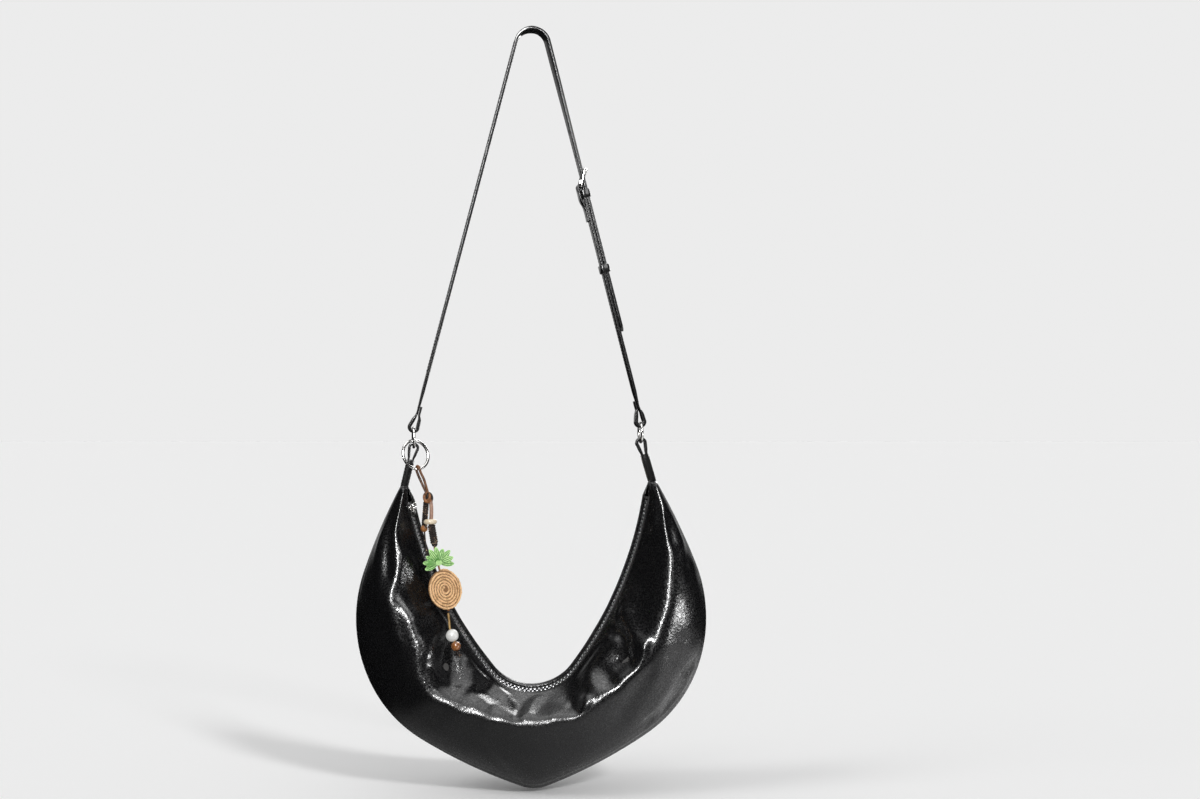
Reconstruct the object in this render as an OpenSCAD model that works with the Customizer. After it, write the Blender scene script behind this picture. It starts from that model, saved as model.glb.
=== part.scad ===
// Half moon shoulder bag with a buckled strap and a hanging pineapple charm.
// Origin: inner face of the strap at its highest point, where a hook or a shoulder carries it.
// X runs along the bag, Y from front to back, Z up. All lengths are millimetres.

/* [Bag body] */
// Widest distance across the crescent
body_w = 351; // [320:1:380]
// Height from the tips down to the lowest point of the base
body_h = 305; // [290:1:330]
// Depth from front to back at the middle when filled
body_d = 112; // [96:1:124]
// Depth from front to back at the two tips
tip_d = 15; // [13:0.5:18]
// Width of each tip, in the plane of the crescent
tip_w = 9; // [8:0.5:11]
// Thickness of the leather panels
leather_t = 1.4; // [1:0.1:1.8]
// Thickness of the cloth lining
lining_t = 0.6; // [0.4:0.1:0.8]

/* [Zip] */
// Lean of the zip towards the front, in degrees
zip_lean = 24; // [15:1:28]
// Width of the flat leather lip beside the zip
lip_w = 4; // [3.6:0.1:5]
// Radius of the zip's curve at the bottom of the crescent
zip_bottom_r = 52; // [48:1:56]
// Radius of the zip's long curve up each limb
zip_limb_r = 395; // [380:1:410]
// Thickness of the zip tape
tape_t = 0.6; // [0.4:0.1:0.8]
// Width of one row of teeth
tooth_w = 2.4; // [2:0.1:2.6]
// Height of a tooth
tooth_h = 2.4; // [2:0.1:2.8]
// Distance from one tooth to the next
tooth_pitch = 4; // [3.6:0.1:5]
// Slit between the two rows
zip_slit = 1.2; // [1.1:0.1:1.6]
// Length of the slider
slider_l = 11; // [10:0.5:13]
// Thickness of the slider's plates
slider_t = 1.1; // [0.9:0.1:1.3]
// Outer diameter of the slider's ring pull
pull_od = 8; // [7:0.5:10]
// Wire thickness of the ring pull
pull_wire = 1.3; // [1.1:0.1:1.5]

/* [Strap] */
// Width of the strap
strap_w = 13; // [12:0.5:14]
// Thickness of the strap
strap_t = 3; // [2.6:0.1:3.4]
// Thickness of one ply where an end is folded
ply_t = 1.8; // [1.5:0.1:2]
// Width of the folded ends at the rings
end_w = 9; // [8:0.5:10]
// Inner radius of the bend at the top of the strap
crown_r = 15; // [13:0.5:20]
// Turn of both legs about the vertical, in degrees
strap_twist = 9; // [0:1:11]
// Tilt of the strap at its highest point, in degrees
crown_tilt = 14; // [0:1:20]
// Distance from the right ring up to the buckle's heel bar
short_l = 243; // [225:1:260]
// Length of the strap's free end below the heel bar
tongue_l = 150; // [140:1:165]
// Radius of the punched holes
hole_r = 2; // [1.8:0.1:2.2]
// Distance between the punched holes
hole_pitch = 25; // [22:1:28]

/* [Rings and tabs] */
// Drop from the strap's highest point to the line between the rings
ring_drop = 404; // [380:1:430]
// How far each ring lies inside the place where its tab enters the tip
tab_in = 10.5; // [9:0.1:12]
// Sideways place of that line's middle
ring_x = -4.5; // [-8:0.5:2]
// Lean of the bag in its own plane, in degrees
hang_lean = 1.3; // [0:0.1:2]
// Outer diameter of the link rings
ring_od = 22; // [21:0.5:24]
// Wire thickness of the link rings
ring_wire = 2.8; // [2.4:0.1:2.8]
// Distance from the rings' line down to the tips
tab_l = 49; // [46:1:56]
// Turn of the tabs about the vertical, in degrees
tab_twist = 5; // [3:1:7]
// Inner radius of the folded leather loops
loop_r = 3.9; // [3.8:0.1:4.2]

/* [Buckle and keepers] */
// Distance between the buckle's two bars
buckle_l = 18; // [17:0.5:20]
// Thickness of the buckle's bars
bar_d = 3; // [2.6:0.1:3.2]
// Thickness of the prong
prong_d = 2; // [1.8:0.1:2.2]
// Length of the oval hole that the prong sits in
oval_l = 9.4; // [9:0.1:10]
// Height of a keeper along the strap
keeper_h = 8; // [7:0.5:9]
// Thickness of a keeper
keeper_t = 1.3; // [1.1:0.1:1.5]
// Distance from the heel bar down to the sliding keeper
keeper_drop = 85; // [75:1:95]

/* [Charm] */
// Outer diameter of the spring ring
spring_od = 32; // [30:0.5:34]
// Wire thickness of the spring ring
spring_wire = 3; // [2.6:0.1:3.2]
// Turn of the spring ring about the vertical, in degrees
spring_turn = 38; // [30:1:45]
// Thickness of the cord
cord_d = 2; // [1.6:0.1:2.2]
// Width of the raffia disc
disc_w = 34; // [32:1:38]
// Height of the raffia disc
disc_h = 41; // [38:1:45]
// Depth of the raffia band that is wound into the disc
band_w = 4; // [3:0.5:5]
// Number of windings in the raffia disc
disc_turns = 6; // [5:1:6]
// Length of a straw leaf
leaf_l = 15; // [13:0.5:17]
// Width of a straw leaf
leaf_w = 6.5; // [5:0.5:8]
// Diameter of the white bead
white_d = 12.4; // [11:0.2:13]
// Diameter of the brown bead
brown_d = 9.4; // [8:0.2:10]
// Diameter of the pale disc bead
pale_d = 13; // [12:0.5:14]

/* [Hidden] */
$fn = 48;
cut = 1;            // how far a cut runs past what it cuts
fit = 0.3;          // clearance between pieces that move against each other
skin = 0.1;         // clearance between pieces that lie together
shaft_fit = 0.05;   // radial clearance of a pin in its bore
half = 22;          // stations on each side of the middle
slope_rows = 4;     // rows from the lip to the ridge
lower_rows = 5;     // rows from the ridge to the base seam

// Zip curve in the plane of the crescent, measured from its lowest point
bottom_angle = 52;
side_angle = 29.5;
bottom_arc = zip_bottom_r * bottom_angle * PI / 180;
zip_half = bottom_arc + zip_limb_r * side_angle * PI / 180;
limb_x = (zip_bottom_r - zip_limb_r) * sin(bottom_angle);
limb_z = zip_bottom_r + (zip_limb_r - zip_bottom_r) * cos(bottom_angle);
zip_turn = bottom_angle + side_angle;
zip_top_x = limb_x + zip_limb_r * sin(zip_turn);
zip_rise = limb_z - zip_limb_r * cos(zip_turn);
zip_z = -tab_l - zip_rise;

function zip_angle(s) = s < bottom_arc ? s / zip_bottom_r * 180 / PI
    : bottom_angle + (s - bottom_arc) / zip_limb_r * 180 / PI;
function zip_point(s) = let (a = zip_angle(s)) s < bottom_arc
    ? [zip_bottom_r * sin(a), zip_z + zip_bottom_r * (1 - cos(a))]
    : [limb_x + zip_limb_r * sin(a), zip_z + limb_z - zip_limb_r * cos(a)];

// Outer curve: tangent arcs from the base up to a tip, as shares of half the body's width
arc_angles = [20, 13, 37, 40, 7.8];
radius_shares = [0.2, 2.85, 0.77, 0.855, 3.79];
function headings(i) = i == 0 ? 0 : headings(i - 1) + arc_angles[i - 1];
function arc_share(i) = radius_shares[i] * arc_angles[i] * PI / 180;
function run_share(i) = i == 0 ? 0 : run_share(i - 1) + arc_share(i - 1);
function arc_end(p, r, h, t) = p + r * [sin(h + t) - sin(h), cos(h) - cos(h + t)];
function arc_start(i) = i == 0 ? [0, 0]
    : arc_end(arc_start(i - 1), radius_shares[i - 1], headings(i - 1), arc_angles[i - 1]);
function arc_at(l, i = 0) = i == len(arc_angles) - 1 || l < run_share(i + 1)
    ? arc_end(arc_start(i), radius_shares[i], headings(i), (l - run_share(i)) / radius_shares[i] * 180 / PI)
    : arc_at(l, i + 1);
rim_shares = arc_start(len(arc_angles));
tip_x = zip_top_x + tip_w;
function outer_point(q) = let (p = arc_at(q * run_share(len(arc_angles))), up = p[1] / rim_shares[1])
    [p[0] * body_w / 2 + (tip_x - rim_shares[0] * body_w / 2) * pow(up, 4), -tab_l - body_h * (1 - up)];

ridge_row = slope_rows + 1;

// Cross-sections of the body: q runs from 0 at the middle to 1 at a tip
lip_y = zip_slit / 2 + tooth_w + 2 * fit + slider_t;
function depth(q) = tip_d + (body_d - tip_d) * pow(1 - pow(q, 2.2), 0.8);
function ridge_share(q) = 0.25 + 0.25 * (1 - cos(180 * min(1, 1.4 * q))) / 2;
function inner_q(q) = pow(q, 1.3);
function lip_end(d) = lip_y + min(lip_w, (d - lip_y) / 2);
function slope_row(w, d, k, e = 1.48) = [w * (1 - pow(cos(k), e)), lip_end(d) + (d - lip_end(d)) * pow(sin(k), e)];
function lower_row(w, wr, d, k, e = 1.33) = [wr + (w - wr) * pow(sin(k), e), d * pow(cos(k), e)];
function profile(q) = let (w = norm(outer_point(q) - zip_point(zip_half * inner_q(q))), d = depth(q) / 2,
    wr = w * ridge_share(q)) concat(
    [[0, lip_y]], [for (j = [0 : slope_rows]) slope_row(wr, d, 90 * j / slope_rows)],
    [for (j = [1 : lower_rows]) lower_row(w, wr, d, 90 * j / lower_rows)]);
function inward(a, b) = let (t = (b - a) / norm(b - a)) [t[1], -t[0]];
function set_in(p, j, t) = let (n = len(p) - 1)
    j == 0 ? p[0] + t * inward(p[0], p[1]) :
    j == n ? [p[n][0] - t * norm(p[n] - p[n - 1]) / abs(p[n][1] - p[n - 1][1]), 0] :
    let (a = inward(p[j - 1], p[j]), b = inward(p[j], p[j + 1]), m = (a + b) / norm(a + b))
    p[j] + m * t / max(0.5, m * a);
// A profile with its lip turned by the zip's lean, which fades out towards the ridge
function leant(p, lean) = let (edge = p[1][1], foot = p[ridge_row][1]) [for (j = [0 : len(p) - 1])
    let (fade = j < 2 ? 1 : j < ridge_row ? pow((foot - p[j][1]) / (foot - edge), 1.4) : 0, a = lean * fade)
        [p[j][0] + p[j][1] * sin(a), p[j][1] * cos(a)]];
function front_profile(i) = leant(profile(abs(i) / half), abs(i) < half ? zip_lean : 0);
function back_profile(i) = leant(profile(abs(i) / half), abs(i) < half ? -zip_lean : 0);
function inset(p, t) = [for (j = [0 : len(p) - 1]) set_in(p, j, t)];
// A station's point [r, y] placed in the bag's frame; i counts from the left tip to the right
function place(i, p) = let (q = abs(i) / half, s = sign(i), a = zip_point(zip_half * inner_q(q)),
    b = outer_point(q), e = (b - a) / norm(b - a), c = a + e * p[0])
    [s * c[0], -p[1], c[1]];
function reversed(p) = [for (j = [len(p) - 1 : -1 : 0]) p[j]];

// A closed skin through rings of points, each ring an outer row followed by its inner row reversed
module skin_solid(rings) {
    n = len(rings);
    m = len(rings[0]);
    rows = m / 2;
    polyhedron([for (r = rings) each r], concat(
        [for (i = [0 : n - 2], k = [0 : m - 1]) let (l = (k + 1) % m) each [
            [i * m + k, i * m + l, (i + 1) * m + k], [i * m + l, (i + 1) * m + l, (i + 1) * m + k]]],
        [for (k = [0 : rows - 2]) each [
            [k, m - 1 - k, k + 1], [k + 1, m - 1 - k, m - 2 - k]]],
        [for (k = [0 : rows - 2], o = [(n - 1) * m]) each [
            [o + k, o + k + 1, o + m - 1 - k], [o + k + 1, o + m - 2 - k, o + m - 1 - k]]]));
}

// A closed solid through rings of points with flat ends
module loft(rings) {
    n = len(rings);
    m = len(rings[0]);
    polyhedron([for (r = rings) each r], concat(
        [for (i = [0 : n - 2], k = [0 : m - 1]) let (l = (k + 1) % m) each [
            [i * m + k, i * m + l, (i + 1) * m + k], [i * m + l, (i + 1) * m + l, (i + 1) * m + k]]],
        [[for (k = [m - 1 : -1 : 0]) k], [for (k = [0 : m - 1]) (n - 1) * m + k]]));
}
// A tube of w by h along points; side is the direction that h lies nearest to
function unit(v) = v / norm(v);
function way(p, i) = unit(p[min(i + 1, len(p) - 1)] - p[max(i - 1, 0)]);
module tube(p, w, h, sides, side) {
    loft([for (i = [0 : len(p) - 1]) let (t = way(p, i), b = unit(cross(side, t)), c = cross(t, b))
        [for (k = [0 : sides - 1]) let (a = 360 * (k + 0.5) / sides)
            p[i] + b * w / 2 * cos(a) + c * h / 2 * sin(a)]]);
}
// Smooth curve through hand-chosen points, with n steps between each pair
function curve_at(a, b, c, d, t) = 0.5 * (2 * b + (c - a) * t + (2 * a - 5 * b + 4 * c - d) * t * t
    + (3 * b - a - 3 * c + d) * t * t * t);
function curve(p, n) = let (m = len(p) - 1) concat(
    [for (i = [0 : m - 1], k = [0 : n - 1])
        curve_at(p[max(i - 1, 0)], p[i], p[i + 1], p[min(i + 2, m)], k / n)], [p[m]]);

// Rings, loops and tabs
tab_seat = 0.6 * tip_w;
ring_span = 2 * (tip_x - tab_seat - tab_in);
ring_c = (ring_od - ring_wire) / 2;
loop_out = loop_r + ply_t;
edge_c = sqrt(ring_c * ring_c - end_w * end_w / 4);
seat = loop_r - fit - (ring_c - edge_c) - ring_wire / 2 * ring_c / edge_c;
tab_run = norm([tab_in, tab_l - ring_c]);
tab_tilt = atan2(tab_in, tab_l - ring_c);

module on_bag() { translate([ring_x, 0, -ring_drop]) rotate([0, -hang_lean, 0]) children(); }
function bag_to_row(x, z) = [ring_x + x * cos(hang_lean) - z * sin(hang_lean),
    -ring_drop + x * sin(hang_lean) + z * cos(hang_lean)];

// Legs of the strap: each runs from the top of its ring to the bend at the top
fold_out = bar_d / 2 + skin + ply_t;
stack = fold_out + skin + strap_t / 2;
crown_c = crown_r + strap_t / 2;
function leg_foot(side) = bag_to_row(side * ring_span / 2, ring_c);
function leg_tilt(side, reach) = let (v = [0, -crown_r] - leg_foot(side))
    atan2(abs(v[0]), v[1]) - asin(reach / norm(v));
left_tilt = leg_tilt(-1, crown_c);
right_tilt = leg_tilt(1, crown_c - stack * cos(strap_twist));
module on_leg(side) {
    f = leg_foot(side);
    translate([f[0], 0, f[1]]) rotate([0, side > 0 ? -right_tilt : left_tilt, 0])
        rotate([0, 0, strap_twist]) mirror([side > 0 ? 0 : 1, 0, 0]) children();
}
// Upright outline [outward, up] given the strap's width
module across(w) { rotate([90, 0, 0]) linear_extrude(w, center = true) children(); }

// Strap
neck_z = seat + 2.2 * loop_out;
sewn_l = end_w;
crown_from = left_tilt - 90;
crown_to = 90 - right_tilt;
left_run = sqrt(pow(norm([0, -crown_r] - leg_foot(-1)), 2) - pow(crown_c, 2));
right_run = sqrt(pow(norm([0, -crown_r] - leg_foot(1)), 2)
    - pow(crown_c - stack * cos(strap_twist), 2));
crown_steps = 20;
function crown_roll(a) = a < 0 ? strap_twist - (crown_tilt + strap_twist) * (a - crown_from) / -crown_from
    : -crown_tilt + (crown_tilt - strap_twist) * a / crown_to;
// Section of the strap at an angle on the bend, a distance back along the tangent and a width
function strap_ring(a, back, w) = let (roll = crown_roll(a), n = [sin(a), 0, cos(a)], t = [cos(a), 0, -sin(a)],
    y = stack * sin(strap_twist) * (a - crown_from) / (crown_to - crown_from),
    c = [0, y, -crown_r] + n * crown_c + t * back,
    u = ([0, cos(roll), 0] + n * sin(roll)) * w / 2, v = (n * cos(roll) - [0, sin(roll), 0]) * strap_t / 2)
    [c - u - v, c - u + v, c + u + v, c + u - v];
tongue_end = right_run - short_l + tongue_l;
tip_r = strap_w / 2;
tip_shares = [1, 0.62, 0.3, 0.1, 0.01];

module sewn_loop(body_in, body_out) {
    across(end_w) difference() {
        union() {
            translate([0, seat]) circle(loop_out);
            polygon([[-loop_out * cos(30), seat + loop_out * sin(30)],
                [loop_out * cos(30), seat + loop_out * sin(30)], [body_out, neck_z], [body_out, neck_z + sewn_l], [body_in - ply_t, neck_z + sewn_l],
                [body_in - ply_t, neck_z]]);
        }
        translate([0, seat]) circle(loop_r);
    }
}
lean = asin((stack + strap_t / 2 + fit + bar_d / 2) / buckle_l);
prong_tilt = lean + asin((bar_d / 2 + prong_d / 2 + shaft_fit) / buckle_l);
prong_swing = 6;
function hole_low(a) = (stack - strap_t / 2) / tan(a) - prong_d / 2 / sin(a);
function hole_high(a) = (stack + strap_t / 2) / tan(a) + prong_d / 2 / sin(a);
oval_z = short_l + (hole_low(prong_tilt + prong_swing) + hole_high(prong_tilt)) / 2;
module punch() {
    translate([stack, 0, 0]) rotate([0, 90, 0]) cylinder(strap_t + 2 * cut, r = hole_r, center = true);
}

module long_strap() {
    color([0.03, 0.03, 0.03]) {
        difference() {
            loft(concat(
                [strap_ring(crown_from, neck_z - left_run, end_w),
                    strap_ring(crown_from, neck_z + sewn_l - left_run, end_w),
                    strap_ring(crown_from, neck_z + 2 * sewn_l - left_run, strap_w)],
                [for (k = [0 : crown_steps])
                    strap_ring(crown_from + (crown_to - crown_from) * k / crown_steps, 0, strap_w)],
                [for (x = tip_shares) strap_ring(crown_to, tongue_end - tip_r * x,
                    strap_w * sqrt(1 - pow(1 - x, 2)))]));
            on_leg(1) {
                for (k = [-2, -1, 1, 2, 3, 4]) translate([0, 0, oval_z - k * hole_pitch]) punch();
                for (e = [-1, 1]) translate([0, 0, oval_z + e * (oval_l / 2 - hole_r)]) punch();
                translate([stack, 0, oval_z])
                    cube([strap_t + 2 * cut, 2 * hole_r, oval_l - 2 * hole_r], center = true);
            }
        }
        on_leg(-1) sewn_loop(-strap_t / 2, strap_t / 2);
    }
}

short_in = fold_out - strap_t;
lug_w = strap_w / 3;
tail_l = 35 / 13 * strap_w;
module short_strap() {
    color([0.03, 0.03, 0.03]) on_leg(1) {
        sewn_loop(short_in, fold_out);
        translate([short_in, 0, 0]) rotate([90, 0, 90]) linear_extrude(strap_t) polygon([
            [-end_w / 2, neck_z], [end_w / 2, neck_z], [end_w / 2, neck_z + sewn_l],
            [strap_w / 2, neck_z + 2 * sewn_l], [strap_w / 2, short_l - lug_w], [-strap_w / 2, short_l - lug_w],
            [-strap_w / 2, neck_z + 2 * sewn_l], [-end_w / 2, neck_z + sewn_l]]);
        difference() {
            across(strap_w) difference() {
                union() {
                    translate([0, short_l]) circle(fold_out);
                    translate([fold_out - ply_t, short_l - lug_w]) square([ply_t, lug_w]);
                    polygon([[-fold_out, short_l], [ply_t - fold_out, short_l],
                        [ply_t - fold_out, short_l - tail_l * 0.38], [short_in, short_l - tail_l * 0.6],
                        [short_in, short_l - tail_l], [short_in - ply_t, short_l - tail_l],
                        [short_in - ply_t, short_l - tail_l * 0.6], [-fold_out, short_l - tail_l * 0.38]]);
                }
                translate([0, short_l]) circle(bar_d / 2 + skin);
            }
            translate([-fold_out - cut, -lug_w / 2, short_l - lug_w * 0.9])
                cube([2 * (fold_out + cut), lug_w, 2 * lug_w]);
        }
    }
}

rail_y = strap_w / 2 + fit + bar_d / 2 + fit;
module on_heel() { on_leg(1) translate([0, 0, short_l]) children(); }
module buckle_frame() {
    color([0.75, 0.75, 0.77]) on_heel() rotate([0, lean, 0]) {
        for (z = [0, buckle_l]) translate([0, 0, z]) rotate([90, 0, 0])
            cylinder(2 * rail_y, r = bar_d / 2, center = true);
        for (y = [-rail_y, rail_y]) translate([0, y, 0]) {
            cylinder(buckle_l, r = bar_d / 2);
            sphere(bar_d / 2);
            translate([0, 0, buckle_l]) sphere(bar_d / 2);
        }
    }
}
eye_r = bar_d / 2 + shaft_fit + prong_d / 2;
module buckle_prong() {
    color([0.75, 0.75, 0.77]) on_heel() rotate([0, prong_tilt, 0]) difference() {
        union() {
            cylinder(buckle_l + bar_d / 2, r = prong_d / 2);
            translate([0, 0, buckle_l + bar_d / 2]) sphere(prong_d / 2);
            rotate([90, 0, 0]) cylinder(lug_w - 2 * fit, r = eye_r, center = true);
        }
        rotate([90, 0, 0]) cylinder(lug_w + cut, r = bar_d / 2 + shaft_fit, center = true);
    }
}

module keeper(gap) {
    linear_extrude(keeper_h, center = true) difference() {
        offset(r = keeper_t, $fn = 24) keeper_mouth(gap);
        keeper_mouth(gap);
    }
}
module keeper_mouth(gap) {
    translate([short_in - gap, -strap_w / 2 - gap])
        square([stack + strap_t / 2 - short_in + 2 * gap, strap_w + 2 * gap]);
}
module fixed_keeper() {
    color([0.04, 0.04, 0.04]) on_heel() translate([0, 0, -fold_out - keeper_h / 2 - fit]) keeper(skin);
}
module sliding_keeper() {
    color([0.04, 0.04, 0.04]) on_heel() translate([0, 0, -keeper_drop]) keeper(fit);
}

// Rings and tabs
module link_ring(side) {
    color([0.75, 0.75, 0.77]) on_bag() translate([side * ring_span / 2, 0, 0]) rotate([0, 0, strap_twist])
        rotate([0, 90, 0]) rotate_extrude() translate([ring_c, 0]) circle(ring_wire / 2);
}
module left_ring() { link_ring(-1); }
module right_ring() { link_ring(1); }

// Each tab is a folded band whose narrow end goes into the tip between the two panels
tab_half = 0.42 * tip_w;
tab_neck = seat + 1.9 * loop_out;
lap_l = 0.9 * end_w;
lap_w = 0.4 * tip_d;
function tip_plane(x) = 2 * skin - tab_run - x * tan(tab_tilt);
module tab_outline() {
    difference() {
        union() {
            translate([0, -seat]) circle(loop_out);
            polygon([[-loop_out * cos(30), -seat - loop_out * sin(30)], [-tab_half, -tab_neck],
                [-tab_half, tip_plane(-tab_half)], [tab_half, tip_plane(tab_half)], [tab_half, -tab_neck],
                [loop_out * cos(30), -seat - loop_out * sin(30)]]);
        }
        translate([0, -seat]) circle(loop_r);
    }
}
module tab(side) {
    color([0.03, 0.03, 0.03]) on_bag() translate([side * ring_span / 2, 0, -ring_c])
        rotate([0, -side * tab_tilt, 0]) rotate([0, 0, tab_twist]) mirror([side > 0 ? 0 : 1, 0, 0]) {
            across(end_w) tab_outline();
            across(lap_w) translate([-ply_t, -tab_run - lap_l]) square([2 * ply_t, lap_l + tab_half]);
        }
}
module left_tab() { tab(-1); }
module right_tab() { tab(1); }

// Body
module panel(profiles) {
    color([0.02, 0.02, 0.02]) skin_solid([for (i = [-half : half]) let (p = profiles[i + half]) concat(
        [for (v = p) place(i, v)], [for (v = reversed(inset(p, leather_t))) place(i, v)])]);
}
module front_panel() { on_bag() panel([for (i = [-half : half]) front_profile(i)]); }
module back_panel() { on_bag() mirror([0, 1, 0]) panel([for (i = [-half : half]) back_profile(i)]); }

lining_in = leather_t + fit + tape_t + 4 * skin;
function both_sides(i, t) = let (p = inset(front_profile(i), t), b = inset(back_profile(i), t))
    concat(p, [for (j = [len(b) - 2 : -1 : 0]) [b[j][0], -b[j][1]]]);
module lining() {
    color([0.25, 0.22, 0.2]) on_bag() skin_solid([for (i = [1 - half : half - 1]) concat(
        [for (v = both_sides(i, lining_in)) place(i, v)],
        [for (v = reversed(both_sides(i, lining_in + lining_t))) place(i, v)])]);
}
pocket_half = 7;
pocket_rows = [ridge_row + 1, ridge_row + lower_rows - 2];
function pocket_wall(p, t) = let (v = inset(p, t)) [for (j = [pocket_rows[0] : pocket_rows[1]]) v[j]];
module slip_pocket() {
    color([0.3, 0.27, 0.24]) on_bag() mirror([0, 1, 0]) skin_solid([for (i = [-pocket_half : pocket_half])
        let (p = back_profile(i), t = lining_in + lining_t + skin)
        concat([for (v = pocket_wall(p, t)) place(i, v)],
            [for (v = reversed(pocket_wall(p, t + 2 * lining_t))) place(i, v)])]);
}

// Zip: strips follow the same two arcs as the lips of the leather, and lean with them
tape_mid = leather_t + fit + tape_t / 2;
tape_from = zip_slit / 2 + tooth_w + skin;
tape_w = lip_y + lip_w - 0.8 * leather_t - tape_from;
module limb(side, from, to) {
    mirror([side > 0 ? 0 : 1, 0, 0]) translate([limb_x, 0, zip_z + limb_z]) rotate([90, 0, 0])
        rotate([0, 0, from - 90]) rotate_extrude(angle = to - from) translate([zip_limb_r, 0]) children();
}
function limb_angle(l) = l / zip_limb_r * 180 / PI;
end_gap = 1.05 * zip_half * (1 - inner_q((half - 1) / half));
stop_gap = end_gap + tooth_w / 2;
module zip_tape(start) {
    translate([0, 0, zip_z + zip_bottom_r]) rotate([90, 0, 0]) rotate([0, 0, -90 - bottom_angle])
        rotate_extrude(angle = 2 * bottom_angle) translate([zip_bottom_r, 0]) tape_section(start);
    for (side = [-1, 1]) limb(side, bottom_angle, zip_turn - limb_angle(end_gap)) tape_section(start);
}
module tape_section(start) {
    rotate(-zip_lean) translate([tape_mid - tape_t / 2, start]) square([tape_t, tape_w]);
}
module on_zip(s) {
    p = zip_point(abs(s));
    translate([sign(s) * p[0], 0, p[1]]) rotate([0, -sign(s) * zip_angle(abs(s)), 0]) rotate([zip_lean, 0, 0])
        children();
}
teeth_half = zip_half - stop_gap - tooth_pitch;
module teeth(shift, side) {
    count = floor(teeth_half / tooth_pitch);
    for (k = [-count : count]) on_zip((k + shift) * tooth_pitch)
        translate([0, side * (zip_slit + tooth_w) / 2, -tape_mid])
            cube([tooth_pitch * 0.6, tooth_w, tooth_h], center = true);
}
module front_zip_tape() { color([0.05, 0.05, 0.05]) on_bag() zip_tape(tape_from); }
module back_zip_tape() { color([0.05, 0.05, 0.05]) on_bag() zip_tape(-tape_from - tape_w); }
module front_teeth() { color([0.2, 0.2, 0.22]) on_bag() teeth(0, -1); }
module back_teeth() { color([0.2, 0.2, 0.22]) on_bag() teeth(0.5, 1); }
module zip_stops() {
    color([0.5, 0.5, 0.52]) on_bag() for (s = [-1, 1]) on_zip(s * (zip_half - stop_gap))
        translate([0, 0, -tape_mid]) cube([tooth_w, zip_slit + 2 * tooth_w, tooth_h], center = true);
}

slider_w = zip_slit / 2 + tooth_w + fit;
slider_top = tape_mid - tooth_h / 2 - fit;
slider_low = tape_mid + tooth_h / 2 + fit;
slider_to = zip_turn - limb_angle(stop_gap + tooth_w / 2 + fit);
slider_from = slider_to - limb_angle(slider_l);
slider_mid = (slider_from + slider_to) / 2;
bail_hole = pull_wire / 2 + fit;
bail_half = bail_hole + pull_wire / 2;
bail_w = 2 * pull_wire;
bail_r = slider_top - slider_t - bail_hole - fit;
module plate(from, to, r0, r1, y0, y1) {
    limb(-1, from, to) rotate(-zip_lean) translate([r0, y0]) square([r1 - r0, y1 - y0]);
}
module zip_slider() {
    color([0.7, 0.7, 0.72]) on_bag() {
        for (r = [slider_top - slider_t, slider_low])
            plate(slider_from, slider_to, r, r + slider_t, -slider_w - slider_t, slider_w + slider_t);
        for (y = [-slider_w - slider_t, slider_w]) {
            plate(slider_from, slider_to, slider_top - slider_t / 2, tape_mid - tape_t / 2 - fit, y, y + slider_t);
            plate(slider_from, slider_to, tape_mid + tape_t / 2 + fit, slider_low + slider_t / 2, y, y + slider_t);
        }
        plate(slider_to - limb_angle(slider_l / 4), slider_to, slider_top - slider_t / 2,
            slider_low + slider_t / 2, fit - zip_slit / 2, zip_slit / 2 - fit);
        difference() {
            plate(slider_mid - limb_angle(bail_half), slider_mid + limb_angle(bail_half), bail_r - bail_half,
                slider_top - slider_t / 2, -bail_w / 2, bail_w / 2);
            on_bail() rotate([90, 0, 0]) cylinder(bail_w + cut, r = bail_hole, center = true);
        }
    }
}
module on_bail() {
    mirror([1, 0, 0]) translate([limb_x, 0, zip_z + limb_z]) rotate([0, 90 - slider_mid, 0])
        translate([zip_limb_r, 0, 0]) rotate([0, 0, zip_lean]) translate([bail_r, 0, 0]) children();
}
pull_c = (pull_od - pull_wire) / 2;
pull_lift = 20;
module zip_pull() {
    color([0.7, 0.7, 0.72]) on_bag() on_bail() rotate([0, -pull_lift, 0]) translate([0, 0, pull_c])
        rotate([0, 90, 0]) rotate_extrude($fn = 32) translate([pull_c, 0]) circle(pull_wire / 2);
}

// Spring ring: it hangs over the left tab's loop, inside the left link ring
spring_c = (spring_od - spring_wire) / 2;
spring_tilt = 14;
hang = [-ring_span / 2 - seat * sin(tab_tilt), 0,
    -ring_c - seat * cos(tab_tilt) + loop_out + spring_wire / 2 + fit];
module on_spring() {
    on_bag() translate(hang) rotate([-spring_tilt, 0, spring_turn]) translate([0, 0, -spring_c]) children();
}
module spring_part(from, to) {
    rotate([90, 0, 0]) rotate([0, 0, from]) rotate_extrude(angle = to - from) translate([spring_c, 0])
        circle(spring_wire / 2);
}
gate_from = 150;
gate_to = 215;
hinge_r = spring_wire * 0.45;
gate_reach = 2 * spring_c * sin((gate_to - gate_from) / 2) - hinge_r / 2;
leaf_t = spring_wire * 0.4;
pin_r = spring_wire / 6;
module at_gate_hinge() { rotate([0, -gate_to, 0]) translate([spring_c, 0, 0]) children(); }
module gate_disc(r, w) { at_gate_hinge() rotate([90, 0, 0]) cylinder(w, r = r, center = true); }
module charm_ring() {
    color([0.75, 0.75, 0.77]) on_spring() {
        difference() {
            spring_part(gate_to - 4, gate_from + 368);
            gate_disc(hinge_r + 2 * fit, leaf_t + 2 * fit);
            intersection() {
                gate_disc(gate_reach + fit, 2 * spring_wire);
                rotate([0, -gate_from, 0]) translate([0, -spring_wire, -spring_wire])
                    cube([spring_od, 2 * spring_wire, spring_od / 3]);
            }
        }
        gate_disc(pin_r, leaf_t + 4 * fit);
    }
}
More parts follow.
